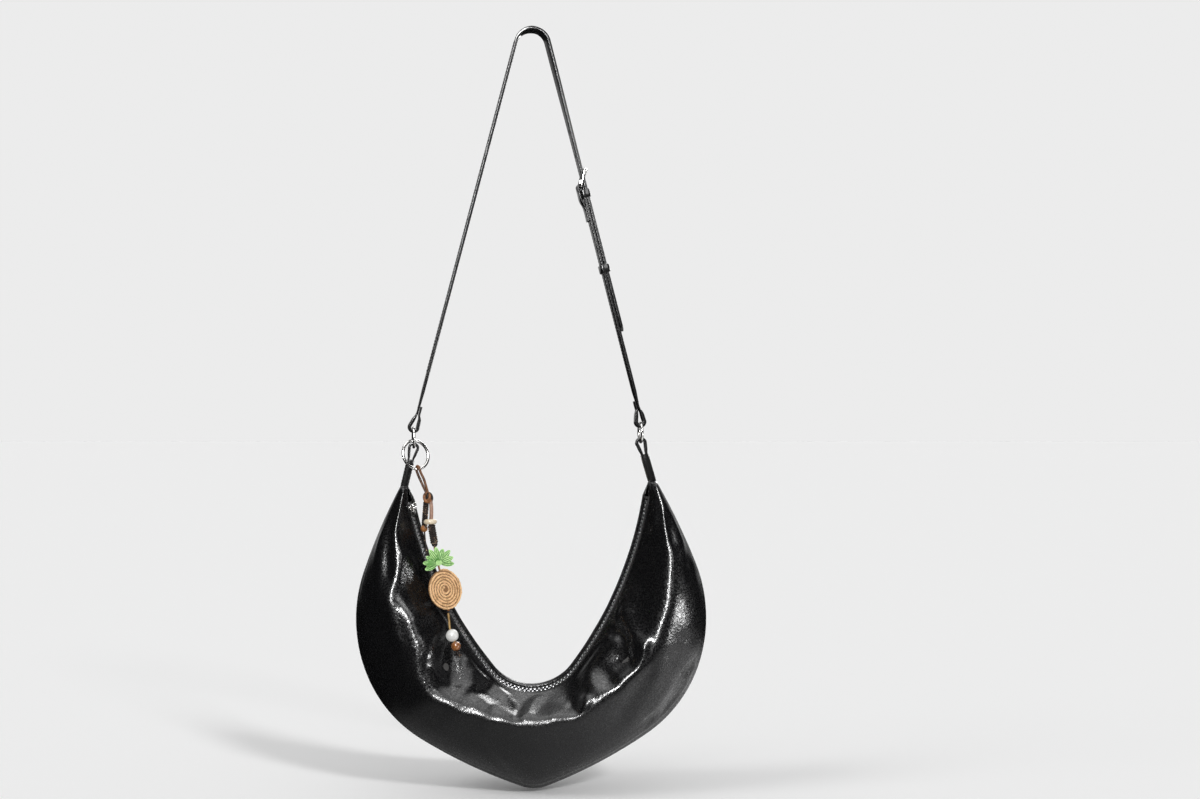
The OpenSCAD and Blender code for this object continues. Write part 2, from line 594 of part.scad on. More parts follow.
module charm_gate() {
    color([0.75, 0.75, 0.77]) on_spring() difference() {
        union() {
            difference() {
                intersection() {
                    spring_part(gate_from - 10, gate_to - 5);
                    gate_disc(gate_reach, 2 * spring_wire);
                }
                gate_disc(hinge_r + 2 * fit + spring_wire / 3, 2 * spring_wire);
            }
            rotate([90, 0, 0]) rotate([0, 0, gate_to - 14]) rotate_extrude(angle = 14)
                translate([spring_c - hinge_r * 0.8, -leaf_t / 2]) square([2 * hinge_r * 0.8, leaf_t]);
            gate_disc(hinge_r, leaf_t);
        }
        gate_disc(pin_r + shaft_fit, spring_wire);
    }
}

// Charm: places are shares of the spring ring's diameter, seen from the ring's centre or from the knot
wrap = (spring_wire + cord_d) / 2 + fit;
knot_r = 2.1 * cord_d;
knot_seat = spring_od * [0.18, -0.07, -1.4];
knot_lift = knot_r * 0.7 + cord_d * 0.6 + skin;
loop_route = [knot_seat + [-cord_d * 0.3, cord_d * 0.65, knot_lift], spring_od * [0.08, 0.06, -0.84],
    spring_od * [0.02, 0.08, -0.6], [0, wrap, -spring_c], [0, wrap * 0.7, wrap * 0.7 - spring_c],
    [0, 0, wrap - spring_c], [0, -wrap * 0.7, wrap * 0.7 - spring_c], [0, -wrap, -spring_c],
    spring_od * [0.02, -0.1, -0.6], spring_od * [0.09, -0.12, -0.84],
    knot_seat + [-cord_d * 0.3, -cord_d * 0.65, knot_lift]];
function tilted(p, t) = [p[0], p[1] * cos(t) + p[2] * sin(t), p[2] * cos(t) - p[1] * sin(t)];
function turned(p, t) = [p[0] * cos(t) - p[1] * sin(t), p[0] * sin(t) + p[1] * cos(t), p[2]];
knot_at = hang + turned(tilted(knot_seat - [0, 0, spring_c], spring_tilt), spring_turn);
function charm_point(x, y, z) = knot_at + spring_od * [x, y, z];
module aimed(at, to) {
    d = to - at;
    translate(at) rotate([0, acos(d[2] / norm(d)), atan2(d[1], d[0])]) children();
}
module rod(a, b, r) { aimed(a, b) cylinder(norm(b - a), r = r); }
module charm_loop() {
    color([0.2, 0.12, 0.07]) on_spring() tube(curve(loop_route, 2), cord_d, cord_d, 8, [1, 0, 0]);
}
module charm_knot() {
    color([0.25, 0.14, 0.08]) on_bag() translate(knot_at) {
        sphere(knot_r * 0.85);
        for (a = [[90, 0, 20], [60, 40, 80]]) rotate(a) rotate_extrude($fn = 32)
            translate([knot_r * 0.7, 0]) circle(cord_d * 0.6);
    }
}
strand_r = cord_d * 0.85;
bead_at = charm_point(0.05, -0.12, -0.74);
strand_top = knot_at + (1.05 * knot_r) * unit(bead_at - knot_at);
braid_top = charm_point(0.08, -0.15, -0.85);
braid_end = charm_point(0.2, -0.37, -1.5);
module upper_strand() { color([0.45, 0.33, 0.24]) on_bag() rod(strand_top, bead_at, strand_r); }
module disc_bead() {
    color([0.85, 0.68, 0.45]) on_bag() aimed(bead_at, strand_top) difference() {
        rotate_extrude() {
            translate([0, -pale_d * 0.2]) square([pale_d * 0.32, pale_d * 0.4]);
            translate([pale_d * 0.3, 0]) circle(pale_d * 0.2);
        }
        cylinder(pale_d, r = strand_r + skin, center = true);
    }
}
module charm_braid() {
    color([0.12, 0.07, 0.05]) on_bag() {
        rod(braid_top, braid_end, cord_d * 1.6);
        translate(braid_end) sphere(cord_d * 1.8);
    }
}
side_top = charm_point(-0.16, 0.02, -0.14);
side_end = charm_point(-0.24, -0.08, -0.97);
side_foot = charm_point(-0.02, -0.4, -1.84);
module side_braid() {
    color([0.12, 0.07, 0.05]) on_bag() {
        rod(side_top, side_end, cord_d * 1.2);
        rod(knot_at + 1.05 * knot_r * unit(side_top - knot_at), side_top, cord_d * 0.8);
        translate(side_end) sphere(cord_d * 1.5);
    }
}
module side_strand() {
    color([0.12, 0.07, 0.05]) on_bag()
        rod(side_end + (cord_d * 1.5 + skin) * unit(side_foot - side_end), side_foot, cord_d * 0.4);
}

pine_at = charm_point(0.485, -0.64, -2.88);
module on_pine() { on_bag() translate(pine_at) rotate([-10, -9, 20]) children(); }
leaf_angles = [-108, -80, -52, -25, 0, 25, 52, 80, 108];
leaf_thick = band_w / 2;
module leaf() {
    r = (leaf_l * leaf_l / 4 + leaf_w * leaf_w / 4) / leaf_w;
    translate([0, leaf_l / 2]) intersection() {
        translate([leaf_w / 2 - r, 0]) circle(r);
        translate([r - leaf_w / 2, 0]) circle(r);
    }
}
module straw_leaves() {
    color([0.5, 0.85, 0.35]) on_pine() translate([0, 0, disc_h / 2 + leaf_w / 2 + fit]) {
        across(leaf_thick) circle(leaf_w / 2);
        for (a = leaf_angles) rotate([0, a, 0]) across(leaf_thick * (abs(a) % 50 < 20 ? 1 : 0.8)) leaf();
    }
}
// One unbroken oval spiral, from its outer end at the top to its middle
coil_gap = 0.45;
pitch = (disc_w / 2 - cord_d) / (disc_turns + 0.5);
strand_w = pitch - coil_gap;
coil_steps = 24;
function coil_point(k) = let (a = 360 * k / coil_steps, r = disc_w / 2 - strand_w / 2 - pitch * k / coil_steps)
    [r * sin(a), 0, r * disc_h / disc_w * cos(a)];
coil = [for (k = [0 : coil_steps * disc_turns]) coil_point(k)];
echo(least_gap = min([for (k = [0 : coil_steps * (disc_turns - 1)]) norm(coil[k] - coil[k + coil_steps])])
    - strand_w);
module raffia_disc() { color([0.75, 0.55, 0.33]) on_pine() tube(coil, strand_w, band_w, 6, [0, 1, 0]); }
spine_y = (band_w + cord_d) / 2 + fit;
spine_out = band_w / 2 + cord_d + fit;
spine_route = [[0, spine_out, disc_h * 1.02], [0, spine_out, disc_h * 0.83], [0, spine_out, disc_h * 0.63],
    [0, spine_y, disc_h * 0.44], [0, spine_y, 0], [0, spine_y, -disc_h * 0.49]];
module spine_cord() {
    color([0.3, 0.2, 0.12]) on_pine() tube(curve(spine_route, 2), cord_d, cord_d, 8, [0, 1, 0]);
}

white_at = charm_point(0.705, -0.76, -4.2);
brown_at = charm_point(0.82, -0.84, -4.52);
end_at = charm_point(0.88, -0.89, -4.73);
bead_step = brown_at - white_at;
end_r = cord_d * 1.3;
tail_route = [charm_point(0.585, -0.6, -3.53), charm_point(0.61, -0.65, -3.75), white_at - 0.6 * bead_step,
    white_at, white_at + 0.5 * bead_step, brown_at, end_at - (end_r + skin) * unit(end_at - brown_at)];
module tail_cord() { color([0.3, 0.2, 0.12]) on_bag() tube(curve(tail_route, 2), cord_d, cord_d, 8, [0, 1, 0]); }
module bead(at, next, d) {
    aimed(at, next) difference() {
        sphere(d / 2);
        cylinder(2 * d, r = cord_d / 2 + fit, center = true);
    }
}
module white_bead() { color([0.95, 0.95, 0.95]) on_bag() bead(white_at, brown_at, white_d); }
module brown_bead() { color([0.4, 0.2, 0.1]) on_bag() bead(brown_at, end_at, brown_d); }
module end_knot() {
    color([0.2, 0.12, 0.08]) on_bag() translate(end_at) {
        sphere(end_r);
        for (a = [[20, 20, 0], [-15, 30, 60], [0, 0, 100]]) rotate(a) translate([0, 0, -cord_d * 3])
            cylinder(cord_d * 3, r = cord_d * 0.35);
    }
}

long_strap();
short_strap();
buckle_frame();
buckle_prong();
fixed_keeper();
sliding_keeper();
left_ring();
right_ring();
left_tab();
right_tab();
front_panel();
back_panel();
lining();
slip_pocket();
front_zip_tape();
back_zip_tape();
front_teeth();
back_teeth();
zip_stops();
zip_slider();
zip_pull();
charm_ring();
charm_gate();
charm_loop();
charm_knot();
upper_strand();
disc_bead();
charm_braid();
side_braid();
side_strand();
straw_leaves();
raffia_disc();
spine_cord();
tail_cord();
white_bead();
brown_bead();
end_knot();
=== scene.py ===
"""Looks of a half moon bag: a soft black leather crescent on a thin buckled strap, with a straw and bead charm."""

import functools
import logging
from dataclasses import dataclass
from enum import Enum
from math import asin, atan2, cos, degrees, exp, hypot, pi, radians, sin, sqrt, tan
from typing import Callable, ClassVar, Sequence

import bmesh
import bpy
from mathutils import Matrix, Vector, noise

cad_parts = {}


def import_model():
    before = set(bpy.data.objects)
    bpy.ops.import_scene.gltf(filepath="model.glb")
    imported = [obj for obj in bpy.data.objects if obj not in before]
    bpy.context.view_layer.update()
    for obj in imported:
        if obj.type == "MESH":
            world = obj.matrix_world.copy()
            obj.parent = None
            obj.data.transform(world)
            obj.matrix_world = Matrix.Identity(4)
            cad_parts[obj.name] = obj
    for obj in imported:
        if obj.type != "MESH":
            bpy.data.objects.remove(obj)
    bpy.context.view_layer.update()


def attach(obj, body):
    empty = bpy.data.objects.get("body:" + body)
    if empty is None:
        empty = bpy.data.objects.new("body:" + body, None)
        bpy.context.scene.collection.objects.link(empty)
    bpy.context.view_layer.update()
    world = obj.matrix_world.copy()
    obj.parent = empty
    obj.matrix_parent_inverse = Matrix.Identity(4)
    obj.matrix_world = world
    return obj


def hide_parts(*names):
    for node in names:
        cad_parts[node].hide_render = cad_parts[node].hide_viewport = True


LOG = logging.getLogger("half_moon_bag")
MM = 0.001

Pair = tuple[float, float]
Triple = tuple[float, float, float]
Outline = Sequence[Pair]
BMesh = bmesh.types.BMesh
Material = bpy.types.Material
Socket = bpy.types.NodeSocket


class Body(str, Enum):
    """Moving bodies of the bag, by their names in the frame."""

    STRAP = "strap"
    BAG = "bag"
    PRONG = "prong"
    LOOSE_KEEPER = "loose_keeper"
    RING_LEFT = "ring_left"
    RING_RIGHT = "ring_right"
    SLIDER = "slider"
    PULL = "pull"
    SPRING_RING = "spring_ring"
    GATE = "gate"
    CHARM = "charm"
    PINEAPPLE = "pineapple"
    TAIL = "tail"


class Side(int, Enum):
    """Sides of the bag as the camera sees them."""

    LEFT = -1
    RIGHT = 1


# Frames shared with the construction


def turn(angle: float, axis: str) -> Matrix:
    """A rotation by an angle in degrees about a named axis."""
    return Matrix.Rotation(radians(angle), 4, axis)


def shift(x: float, y: float, z: float) -> Matrix:
    """A move in millimetres."""
    return Matrix.Translation((x, y, z))


def axes(x: Vector, y: Vector, z: Vector, place: Vector) -> Matrix:
    """A frame at a place, from its three axes."""
    frame = Matrix((x, y, z)).transposed().to_4x4()
    frame.translation = place
    return frame


def aimed(place: Vector, target: Vector) -> Matrix:
    """A frame at a place whose Z points to a target."""
    return Matrix.Translation(place) @ (target - place).to_track_quat("Z", "X").to_matrix().to_4x4()


def polar(reach: float, angle: float) -> Pair:
    """The two parts of a reach along an angle in degrees."""
    return reach * cos(radians(angle)), reach * sin(radians(angle))


ROW = Matrix.Identity(4)
# The middle between the link rings, their drop from the crown, the bag's lean and the rings' span
RING_X, RING_DROP, HANG_LEAN, RING_SPAN = -4.5, 404.0, 1.3, 226.947
# A link ring's radius to the middle of its wire, and how far a leather loop's middle lies off that wire
RING_C, SEAT = 9.6, 0.895
# How far a tab's foot lies inwards of its ring, and how far below the rings' middle
TAB_IN, TAB_LENGTH = 10.5, 49.0
# The gaps between pieces that lie together and between those that move
SKIN, FIT = 0.1, 0.3
# A folded ply's width and thickness, and where it stops bunching up beside its ring
PLY_WIDTH, PLY, BUNCH_END, BUNCH_FADE = 9.0, 1.8, 13.0, 6.0
# The distances within which points of a swept and of a spun skin are one
SWEEP_WELD, LATHE_WELD = 1e-5, 0.001
BAG = shift(RING_X, 0, -RING_DROP) @ turn(-HANG_LEAN, "Y")
EYE = Vector((68.5, -1800.0, -368.5))  # where the camera stands
ACROSS, INWARD, UPWARD = Vector((1, 0, 0)), Vector((0, 1, 0)), Vector((0, 0, 1))


# Pieces and mesh helpers


def link(name: str, data: bpy.types.ID) -> bpy.types.Object:
    """Adds an object with its data to the scene."""
    thing = bpy.data.objects.new(name, data)
    bpy.context.scene.collection.objects.link(thing)
    return thing


def write_mesh(bm: BMesh, name: str) -> bpy.types.Mesh:
    """Writes a mesh out under a name, and frees it."""
    mesh = bpy.data.meshes.new(name)
    bm.to_mesh(mesh)
    bm.free()
    return mesh


@dataclass
class Part:
    """A part of the bag that makes its own pieces, with the finishes that all parts share."""

    finishes: dict[str, Material]
    home: ClassVar[Body] = Body.BAG

    def piece(self, bm: BMesh, name: str, finish: str, slot: str, node: str = "", body: Body | None = None,
              place: Matrix = BAG, sharp: float = 0.0) -> bpy.types.Object:
        """Turns a mesh drawn in millimetres into a piece of the bag.

        Args:
            bm: the mesh, which is freed.
            name: the piece's name.
            finish: its finish, by its short name.
            slot: the record's material slot; it is not used.
            node: the node of the construction that it stands for, or none.
            body: the body that it rides on, or none for the part's own.
            place: the frame that the mesh was drawn in.
            sharp: the angle in degrees from which an edge is shaded sharp, or 0 for none.

        Returns:
            The new object.
        """
        bm.transform(Matrix.Scale(MM, 4) @ place)
        if place.determinant() < 0:
            bmesh.ops.reverse_faces(bm, faces=bm.faces)
        for face in bm.faces:
            face.smooth = True
        mesh = write_mesh(bm, name)
        if sharp:
            mesh.set_sharp_from_angle(angle=radians(sharp))
        piece = link(name, mesh)
        mesh.materials.append(self.finishes[finish])
        LOG.info("%s: %d faces", name, len(mesh.polygons))
        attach(piece, (body or self.home).value)
        if node:
            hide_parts(node)
        return piece


def thicken(piece: bpy.types.Object, thickness: float) -> None:
    """Gives an open skin a wall of a thickness in millimetres, on its inner side."""
    wall = piece.modifiers.new("wall", "SOLIDIFY")
    wall.thickness = thickness * MM
    wall.offset = -1.0


def join_in(bm: BMesh, other: BMesh) -> None:
    """Adds a mesh to another one and frees it."""
    spare = write_mesh(other, "spare")
    bm.from_mesh(spare)
    bpy.data.meshes.remove(spare)


def moved(bm: BMesh, place: Matrix) -> BMesh:
    """Puts a whole mesh into a frame."""
    bmesh.ops.transform(bm, matrix=place, verts=bm.verts)
    return bm


def add_box(bm: BMesh, place: Matrix, size: Sequence[float]) -> None:
    """Adds a box of a size round a frame."""
    made = bmesh.ops.create_cube(bm, size=1.0)["verts"]
    bmesh.ops.transform(bm, verts=made, matrix=place @ Matrix.Diagonal((*size, 1)))


def bevel(bm: BMesh, offset: float, segments: int = 2) -> None:
    """Rounds all the edges of a mesh."""
    bmesh.ops.bevel(bm, geom=bm.edges[:], affect="EDGES", offset=offset, segments=segments, profile=0.5,
                    material=-1)


def sweep(frames: Sequence[Matrix], outline: Callable[[float], Outline], closed: bool = False) -> BMesh:
    """Lays an outline through a row of frames as one skin.

    Args:
        frames: the outline's frame at each step; the outline lies in its X and Y.
        outline: gives the outline at a share of the run from 0 to 1.
        closed: whether the run joins its own start.

    Returns:
        A closed mesh.
    """
    rows = [*frames, frames[0]] if closed else list(frames)
    rings = [[frame @ Vector((x, y, 0)) for x, y in outline(min(1.0, i / (len(frames) - 1)))]
             for i, frame in enumerate(rows)]
    if closed:
        rings[-1] = rings[0]
    sides = len(rings[0])
    bm = bmesh.new()
    bmesh.ops.create_grid(bm, x_segments=sides, y_segments=len(rows) - 1, size=1.0)
    for i, vert in enumerate(bm.verts):
        vert.co = rings[i // (sides + 1)][i % (sides + 1) % sides]
    bmesh.ops.remove_doubles(bm, verts=bm.verts, dist=SWEEP_WELD)
    if not closed:
        bmesh.ops.holes_fill(bm, edges=[e for e in bm.edges if e.is_boundary], sides=0)
    bmesh.ops.recalc_face_normals(bm, faces=bm.faces)
    return bm


def smooth_path(points: Sequence[Sequence[float]], steps: int) -> list[Vector]:
    """A smooth curve through points, with a number of steps between each pair."""
    pts = [Vector(p) for p in points]
    last = len(pts) - 1
    run = []
    for i in range(last):
        a, b, c, d = pts[max(i - 1, 0)], pts[i], pts[i + 1], pts[min(i + 2, last)]
        for k in range(steps):
            t = k / steps
            run.append(0.5 * (2 * b + (c - a) * t + (2 * a - 5 * b + 4 * c - d) * t * t
                              + (3 * b - a - 3 * c + d) * t ** 3))
    return run + [pts[last]]


def heading(points: Sequence[Vector], i: int, closed: bool = False) -> Vector:
    """The direction of a row of points at one of them."""
    if closed:
        return (points[(i + 1) % len(points)] - points[i - 1]).normalized()
    return (points[min(i + 1, len(points) - 1)] - points[max(i - 1, 0)]).normalized()


def path_frames(path: Sequence[Vector], side: Vector, closed: bool = False) -> list[Matrix]:
    """Frames along a path: Z runs along it, X lies across it and the given side, Y nearest to that side."""
    frames = []
    for i, point in enumerate(path):
        along = heading(path, i, closed)
        across = side.cross(along).normalized()
        frames.append(axes(across, along.cross(across), along, point))
    return frames


def rod(path: Sequence[Vector], radius: float, sides: int, side: Vector = INWARD, taper: float = 0.0) -> BMesh:
    """A round rod along a path, thinner by its taper at the far end."""
    return sweep(path_frames(path, side), lambda share: round_outline(radius - taper * share, sides))


def lathe(profile: Sequence[Pair], steps: int, closed: bool = False) -> BMesh:
    """Spins a profile of radii and heights round Z.

    Args:
        profile: its points as radius and height.
        steps: the number of steps of the full turn.
        closed: whether the profile's last point joins its first one.

    Returns:
        The spun mesh.
    """
    bm = bmesh.new()
    verts = [bm.verts.new((r, 0, z)) for r, z in profile]
    pairs = list(zip(verts, verts[1:])) + ([(verts[-1], verts[0])] if closed else [])
    edges = [bm.edges.new(pair) for pair in pairs]
    bmesh.ops.spin(bm, geom=verts + edges, cent=(0, 0, 0), axis=(0, 0, 1), angle=2 * pi, steps=steps,
                   use_merge=True)
    bmesh.ops.remove_doubles(bm, verts=bm.verts, dist=LATHE_WELD)
    bmesh.ops.recalc_face_normals(bm, faces=bm.faces)
    return bm


def torus(reach: float, wire: float, steps: int, sides: int) -> BMesh:
    """A ring of round wire about Z."""
    return lathe([(reach + x, y) for x, y in round_outline(wire, sides)], steps, closed=True)


def tangle(turns: Sequence[Sequence[float]], wire: float, steps: int, sides: int, place: Matrix) -> BMesh:
    """A knot of crossing rings of cord.

    Args:
        turns: for each ring its turns about X, Y and Z in degrees, and its reach.
        wire: the cord's radius.
        steps: the steps round each ring.
        sides: the sides of the cord.
        place: the knot's frame, which may also stretch it.

    Returns:
        The knot as one mesh.
    """
    whole = bmesh.new()
    for rx, ry, rz, reach in turns:
        join_in(whole, moved(torus(reach, wire, steps, sides),
                             place @ turn(rz, "Z") @ turn(ry, "Y") @ turn(rx, "X")))
    return whole


def carve(bm: BMesh, tools: BMesh) -> BMesh:
    """Cuts closed meshes out of another one, and frees both."""
    pair = [link(name, write_mesh(source, name)) for name, source in (("carved", bm), ("cutter", tools))]
    cut = pair[0].modifiers.new("cut", "BOOLEAN")
    cut.object, cut.operation, cut.solver = pair[1], "DIFFERENCE", "EXACT"
    result = bpy.data.meshes.new_from_object(pair[0].evaluated_get(bpy.context.evaluated_depsgraph_get()))
    out = bmesh.new()
    out.from_mesh(result)
    for thing in pair:
        mesh = thing.data
        bpy.data.objects.remove(thing)
        bpy.data.meshes.remove(mesh)
    bpy.data.meshes.remove(result)
    return out


@dataclass(frozen=True)
class Stitch:
    """A kind of stitch: the distance from one to the next, its length and half its thickness."""

    pitch: float
    length: float
    radius: float


EDGE_STITCH, FOLD_STITCH = Stitch(3.4, 2.3, 0.22), Stitch(1.9, 1.3, 0.24)
TAB_STITCH, LIP_STITCH = Stitch(3.0, 2.0, 0.24), Stitch(3.6, 2.4, 0.24)
BATCH = 600  # vertices of stitches that are joined in at once


def sew(bm: BMesh, points: Sequence[Vector], lifts: Sequence[Vector], stitch: Stitch) -> None:
    """Lays a row of stitches along points.

    Args:
        bm: the mesh that gets them.
        points: the line of the row.
        lifts: the direction away from the leather at each point.
        stitch: the kind of stitch.
    """
    size = Matrix.Diagonal((stitch.length / 2, stitch.radius, stitch.radius, 1))
    run, row = 0.0, bmesh.new()
    for i, (a, b) in enumerate(zip(points, points[1:])):
        step = (b - a).length
        while run < step:
            along = (b - a).normalized()
            out = lifts[i].lerp(lifts[i + 1], run / step).normalized()
            frame = axes(along, out.cross(along).normalized(), out, a.lerp(b, run / step))
            bmesh.ops.create_uvsphere(row, u_segments=6, v_segments=4, radius=1.0,
                                      matrix=frame @ size @ turn(90, "Y"))
            run += stitch.pitch
            if len(row.verts) > BATCH:
                join_in(bm, row)
                row = bmesh.new()
        run -= step
    join_in(bm, row)


def round_outline(radius: float, sides: int) -> list[Pair]:
    """A circle as an outline."""
    return [(radius * cos(2 * pi * k / sides), radius * sin(2 * pi * k / sides)) for k in range(sides)]


def slab_outline(width: float, height: float, corner: float, steps: int = 3) -> list[Pair]:
    """A rectangle with round corners as an outline."""
    points = []
    for cx, cy, start in ((1, 1, 0), (-1, 1, 90), (-1, -1, 180), (1, -1, 270)):
        for k in range(steps + 1):
            x, y = polar(corner, start + 90 * k / steps)
            points.append((cx * (width / 2 - corner) + x, cy * (height / 2 - corner) + y))
    return points


def eased(t: float) -> float:
    """A smooth step of a value that is held between 0 and 1."""
    t = min(1.0, max(0.0, t))
    return t * t * (3 - 2 * t)


def through(stations: Sequence[Pair], at: float) -> float:
    """A smooth reading between stations that are given in rising order."""
    if at <= stations[0][0]:
        return stations[0][1]
    for (a, va), (b, vb) in zip(stations, stations[1:]):
        if at <= b:
            return va + (vb - va) * eased((at - a) / (b - a))
    return stations[-1][1]


# Finishes


class Tree:
    """A short way to write a node tree."""

    def __init__(self, tree: bpy.types.NodeTree) -> None:
        """Takes the tree that gets the nodes."""
        self.tree = tree

    def add(self, kind: str, *inputs: object, **values: object) -> bpy.types.Node:
        """Adds a node, sets properties or sockets by name, and feeds its first sockets in order."""
        node = self.tree.nodes.new(kind)
        for key, value in values.items():
            if hasattr(node, key):
                setattr(node, key, value)
            else:
                self.feed(node.inputs[key], value)
        for socket, value in zip(node.inputs, inputs):
            self.feed(socket, value)
        return node

    def feed(self, socket: Socket, value: object) -> None:
        """Links an output to a socket, or sets the socket's own value."""
        if isinstance(value, Socket):
            self.tree.links.new(value, socket)
        else:
            socket.default_value = value


class Nodes(Tree):
    """The node tree of a material with a principled shader."""

    def __init__(self, name: str) -> None:
        """Starts the material."""
        self.material = bpy.data.materials.new(name)
        self.material.use_nodes = True
        super().__init__(self.material.node_tree)
        self.shader = self.tree.nodes["Principled BSDF"]
        self.object_place = self.add("ShaderNodeTexCoord").outputs["Object"]

    def set(self, **values: object) -> None:
        """Sets sockets of the shader by name."""
        known = {socket.name.lower(): socket for socket in self.shader.inputs}
        for key, value in values.items():
            self.feed(known[key.replace("_", " ")], value)

    def noise_of(self, scale: float, detail: float = 3.0, rough: float = 0.5, warp: float = 0.0) -> Socket:
        """A noise pattern, whose scale is in waves per metre."""
        return self.add("ShaderNodeTexNoise", Vector=self.object_place, Scale=scale, Detail=detail,
                        Roughness=rough, Distortion=warp).outputs["Fac"]

    def ramp(self, value: Socket, low: float, high: float, to_low: float = 0.0, to_high: float = 1.0) -> Socket:
        """Maps a value from one range to another one, held at both ends."""
        return self.add("ShaderNodeMapRange", value, low, high, to_low, to_high).outputs["Result"]

    def math(self, way: str, a: object, b: object) -> Socket:
        """A sum or product of two values."""
        return self.add("ShaderNodeMath", a, b, operation=way).outputs["Value"]

    def mix(self, share: object, a: Sequence[float], b: Sequence[float]) -> Socket:
        """A colour between two colours, each given as red, green and blue."""
        node = self.add("ShaderNodeMix", data_type="RGBA", Factor=share)
        self.feed(node.inputs[6], (*a, 1.0))
        self.feed(node.inputs[7], (*b, 1.0))
        return node.outputs[2]

    def bump(self, height: Socket, depth: float, **below: Socket) -> Socket:
        """A bump of a real depth in metres, over another bump if one is given as Normal."""
        return self.add("ShaderNodeBump", Height=height, Distance=depth, Strength=1.0, **below).outputs["Normal"]


@dataclass(frozen=True)
class WaxedLeather:
    """Black leather with a waxy gloss, which breaks into a fine crackle."""

    name: str
    colour: Triple = (0.004, 0.004, 0.0045)
    gloss: float = 0.24
    crackle: float = 1.0
    grain: float = 1.0
    worn: Pair = (-9.0, -8.0)

    def build(self) -> Material:
        """Makes the material."""
        n = Nodes(self.name)
        patch = n.ramp(n.noise_of(24, rough=0.55), 0.36, 0.6, 0.3, 1.0)
        tint = n.add("ShaderNodeTexNoise", Vector=n.object_place, Scale=420.0)
        shove = n.add("ShaderNodeVectorMath", tint.outputs["Color"], operation="SCALE", Scale=0.0022)
        place = n.add("ShaderNodeVectorMath", n.object_place, shove.outputs["Vector"], operation="ADD")
        cells = n.add("ShaderNodeTexVoronoi", feature="DISTANCE_TO_EDGE", Vector=place.outputs["Vector"], Scale=300)
        crack = n.ramp(cells.outputs["Distance"], 0.0, 0.25)
        pebble, speck = n.noise_of(430, 2), n.noise_of(620, rough=0.7)
        height = n.math("MULTIPLY", n.math("ADD", n.math("MULTIPLY", crack, 0.12), pebble), patch)
        broad = n.bump(n.noise_of(120, 2), 0.00012 * self.grain)
        level = n.add("ShaderNodeSeparateXYZ", n.object_place).outputs["Z"]
        dull = n.ramp(level, *self.worn, 0.1, 0.0)
        rough = n.ramp(speck, 0.42, 0.58, self.gloss + 0.12 * self.crackle, self.gloss - 0.08 * self.crackle)
        wax = n.ramp(speck, 0.45, 0.6, 0.5 - 0.35 * self.crackle, 0.5 + 0.4 * self.crackle)
        n.set(base_color=n.mix(n.ramp(speck, 0.6, 0.72), self.colour, tuple(2.2 * c for c in self.colour)),
              roughness=n.math("ADD", dull, rough), specular_ior_level=0.4,
              normal=n.bump(height, 0.00016 * self.crackle, Normal=broad),
              coat_weight=n.math("MULTIPLY", n.ramp(level, *self.worn, 0.2, 1.0), wax), coat_roughness=0.05,
              coat_normal=n.bump(height, 0.0004 * self.crackle, Normal=broad))
        return n.material


@dataclass(frozen=True)
class Metal:
    """Polished plated metal, with faint rubbing marks."""

    name: str
    colour: Triple = (0.84, 0.83, 0.81)
    roughness: float = 0.15

    def build(self) -> Material:
        """Makes the material."""
        n = Nodes(self.name)
        rub = n.noise_of(900, 3)
        n.set(base_color=n.mix(n.ramp(rub, 0.35, 0.75), self.colour, tuple(0.82 * c for c in self.colour)),
              metallic=1.0, roughness=n.ramp(rub, 0.3, 0.8, self.roughness, self.roughness + 0.14),
              normal=n.bump(n.noise_of(1500, 2), 0.00002))
        return n.material


@dataclass(frozen=True)
class Cloth:
    """Woven cloth, whose threads run level and upright."""

    name: str
    colour: Triple = (0.05, 0.045, 0.04)
    threads: float = 1600.0
    tangled: float = 0.6

    def build(self) -> Material:
        """Makes the material."""
        n = Nodes(self.name)
        waves = [n.add("ShaderNodeTexWave", wave_type="BANDS", bands_direction=axis, Vector=n.object_place,
                       Scale=self.threads / 6.283, Distortion=self.tangled).outputs["Fac"] for axis in "XZ"]
        weave = n.math("MULTIPLY", *waves)
        n.set(base_color=n.mix(weave, tuple(0.6 * c for c in self.colour), self.colour), roughness=0.85,
              sheen_weight=0.3, normal=n.bump(weave, 0.00015))
        return n.material


@dataclass(frozen=True)
class Fibre:
    """Straw, raffia, cord or thread, with fine streaks between a dark and a light tone."""

    name: str
    colour: Triple
    dark: Triple
    roughness: float = 0.6
    streaks: float = 900.0
    depth: float = 0.00012
    split: Pair = (0.38, 0.68)

    def build(self) -> Material:
        """Makes the material."""
        n = Nodes(self.name)
        streak = n.noise_of(self.streaks, 3, rough=0.6)
        blotch = n.noise_of(self.streaks * 0.18, 2)
        tone = n.math("ADD", n.math("MULTIPLY", streak, 0.6), n.math("MULTIPLY", blotch, 0.5))
        n.set(base_color=n.mix(n.ramp(tone, *self.split), self.dark, self.colour),
              roughness=self.roughness, specular_ior_level=0.22, normal=n.bump(streak, self.depth))
        return n.material


@dataclass(frozen=True)
class Glazed:
    """A smooth bead of wood, glass or stone with a clouded colour."""

    name: str
    colour: Triple
    dark: Triple
    roughness: float = 0.2
    clouds: float = 220.0
    coat: float = 0.4

    def build(self) -> Material:
        """Makes the material."""
        n = Nodes(self.name)
        cloud = n.noise_of(self.clouds, 4, rough=0.6, warp=1.2)
        n.set(base_color=n.mix(n.ramp(cloud, 0.35, 0.68), self.dark, self.colour),
              roughness=n.ramp(cloud, 0.3, 0.7, self.roughness, self.roughness + 0.12),
              coat_weight=self.coat, coat_roughness=0.08, normal=n.bump(n.noise_of(1800, 3), 0.00002))
        return n.material


# Studio


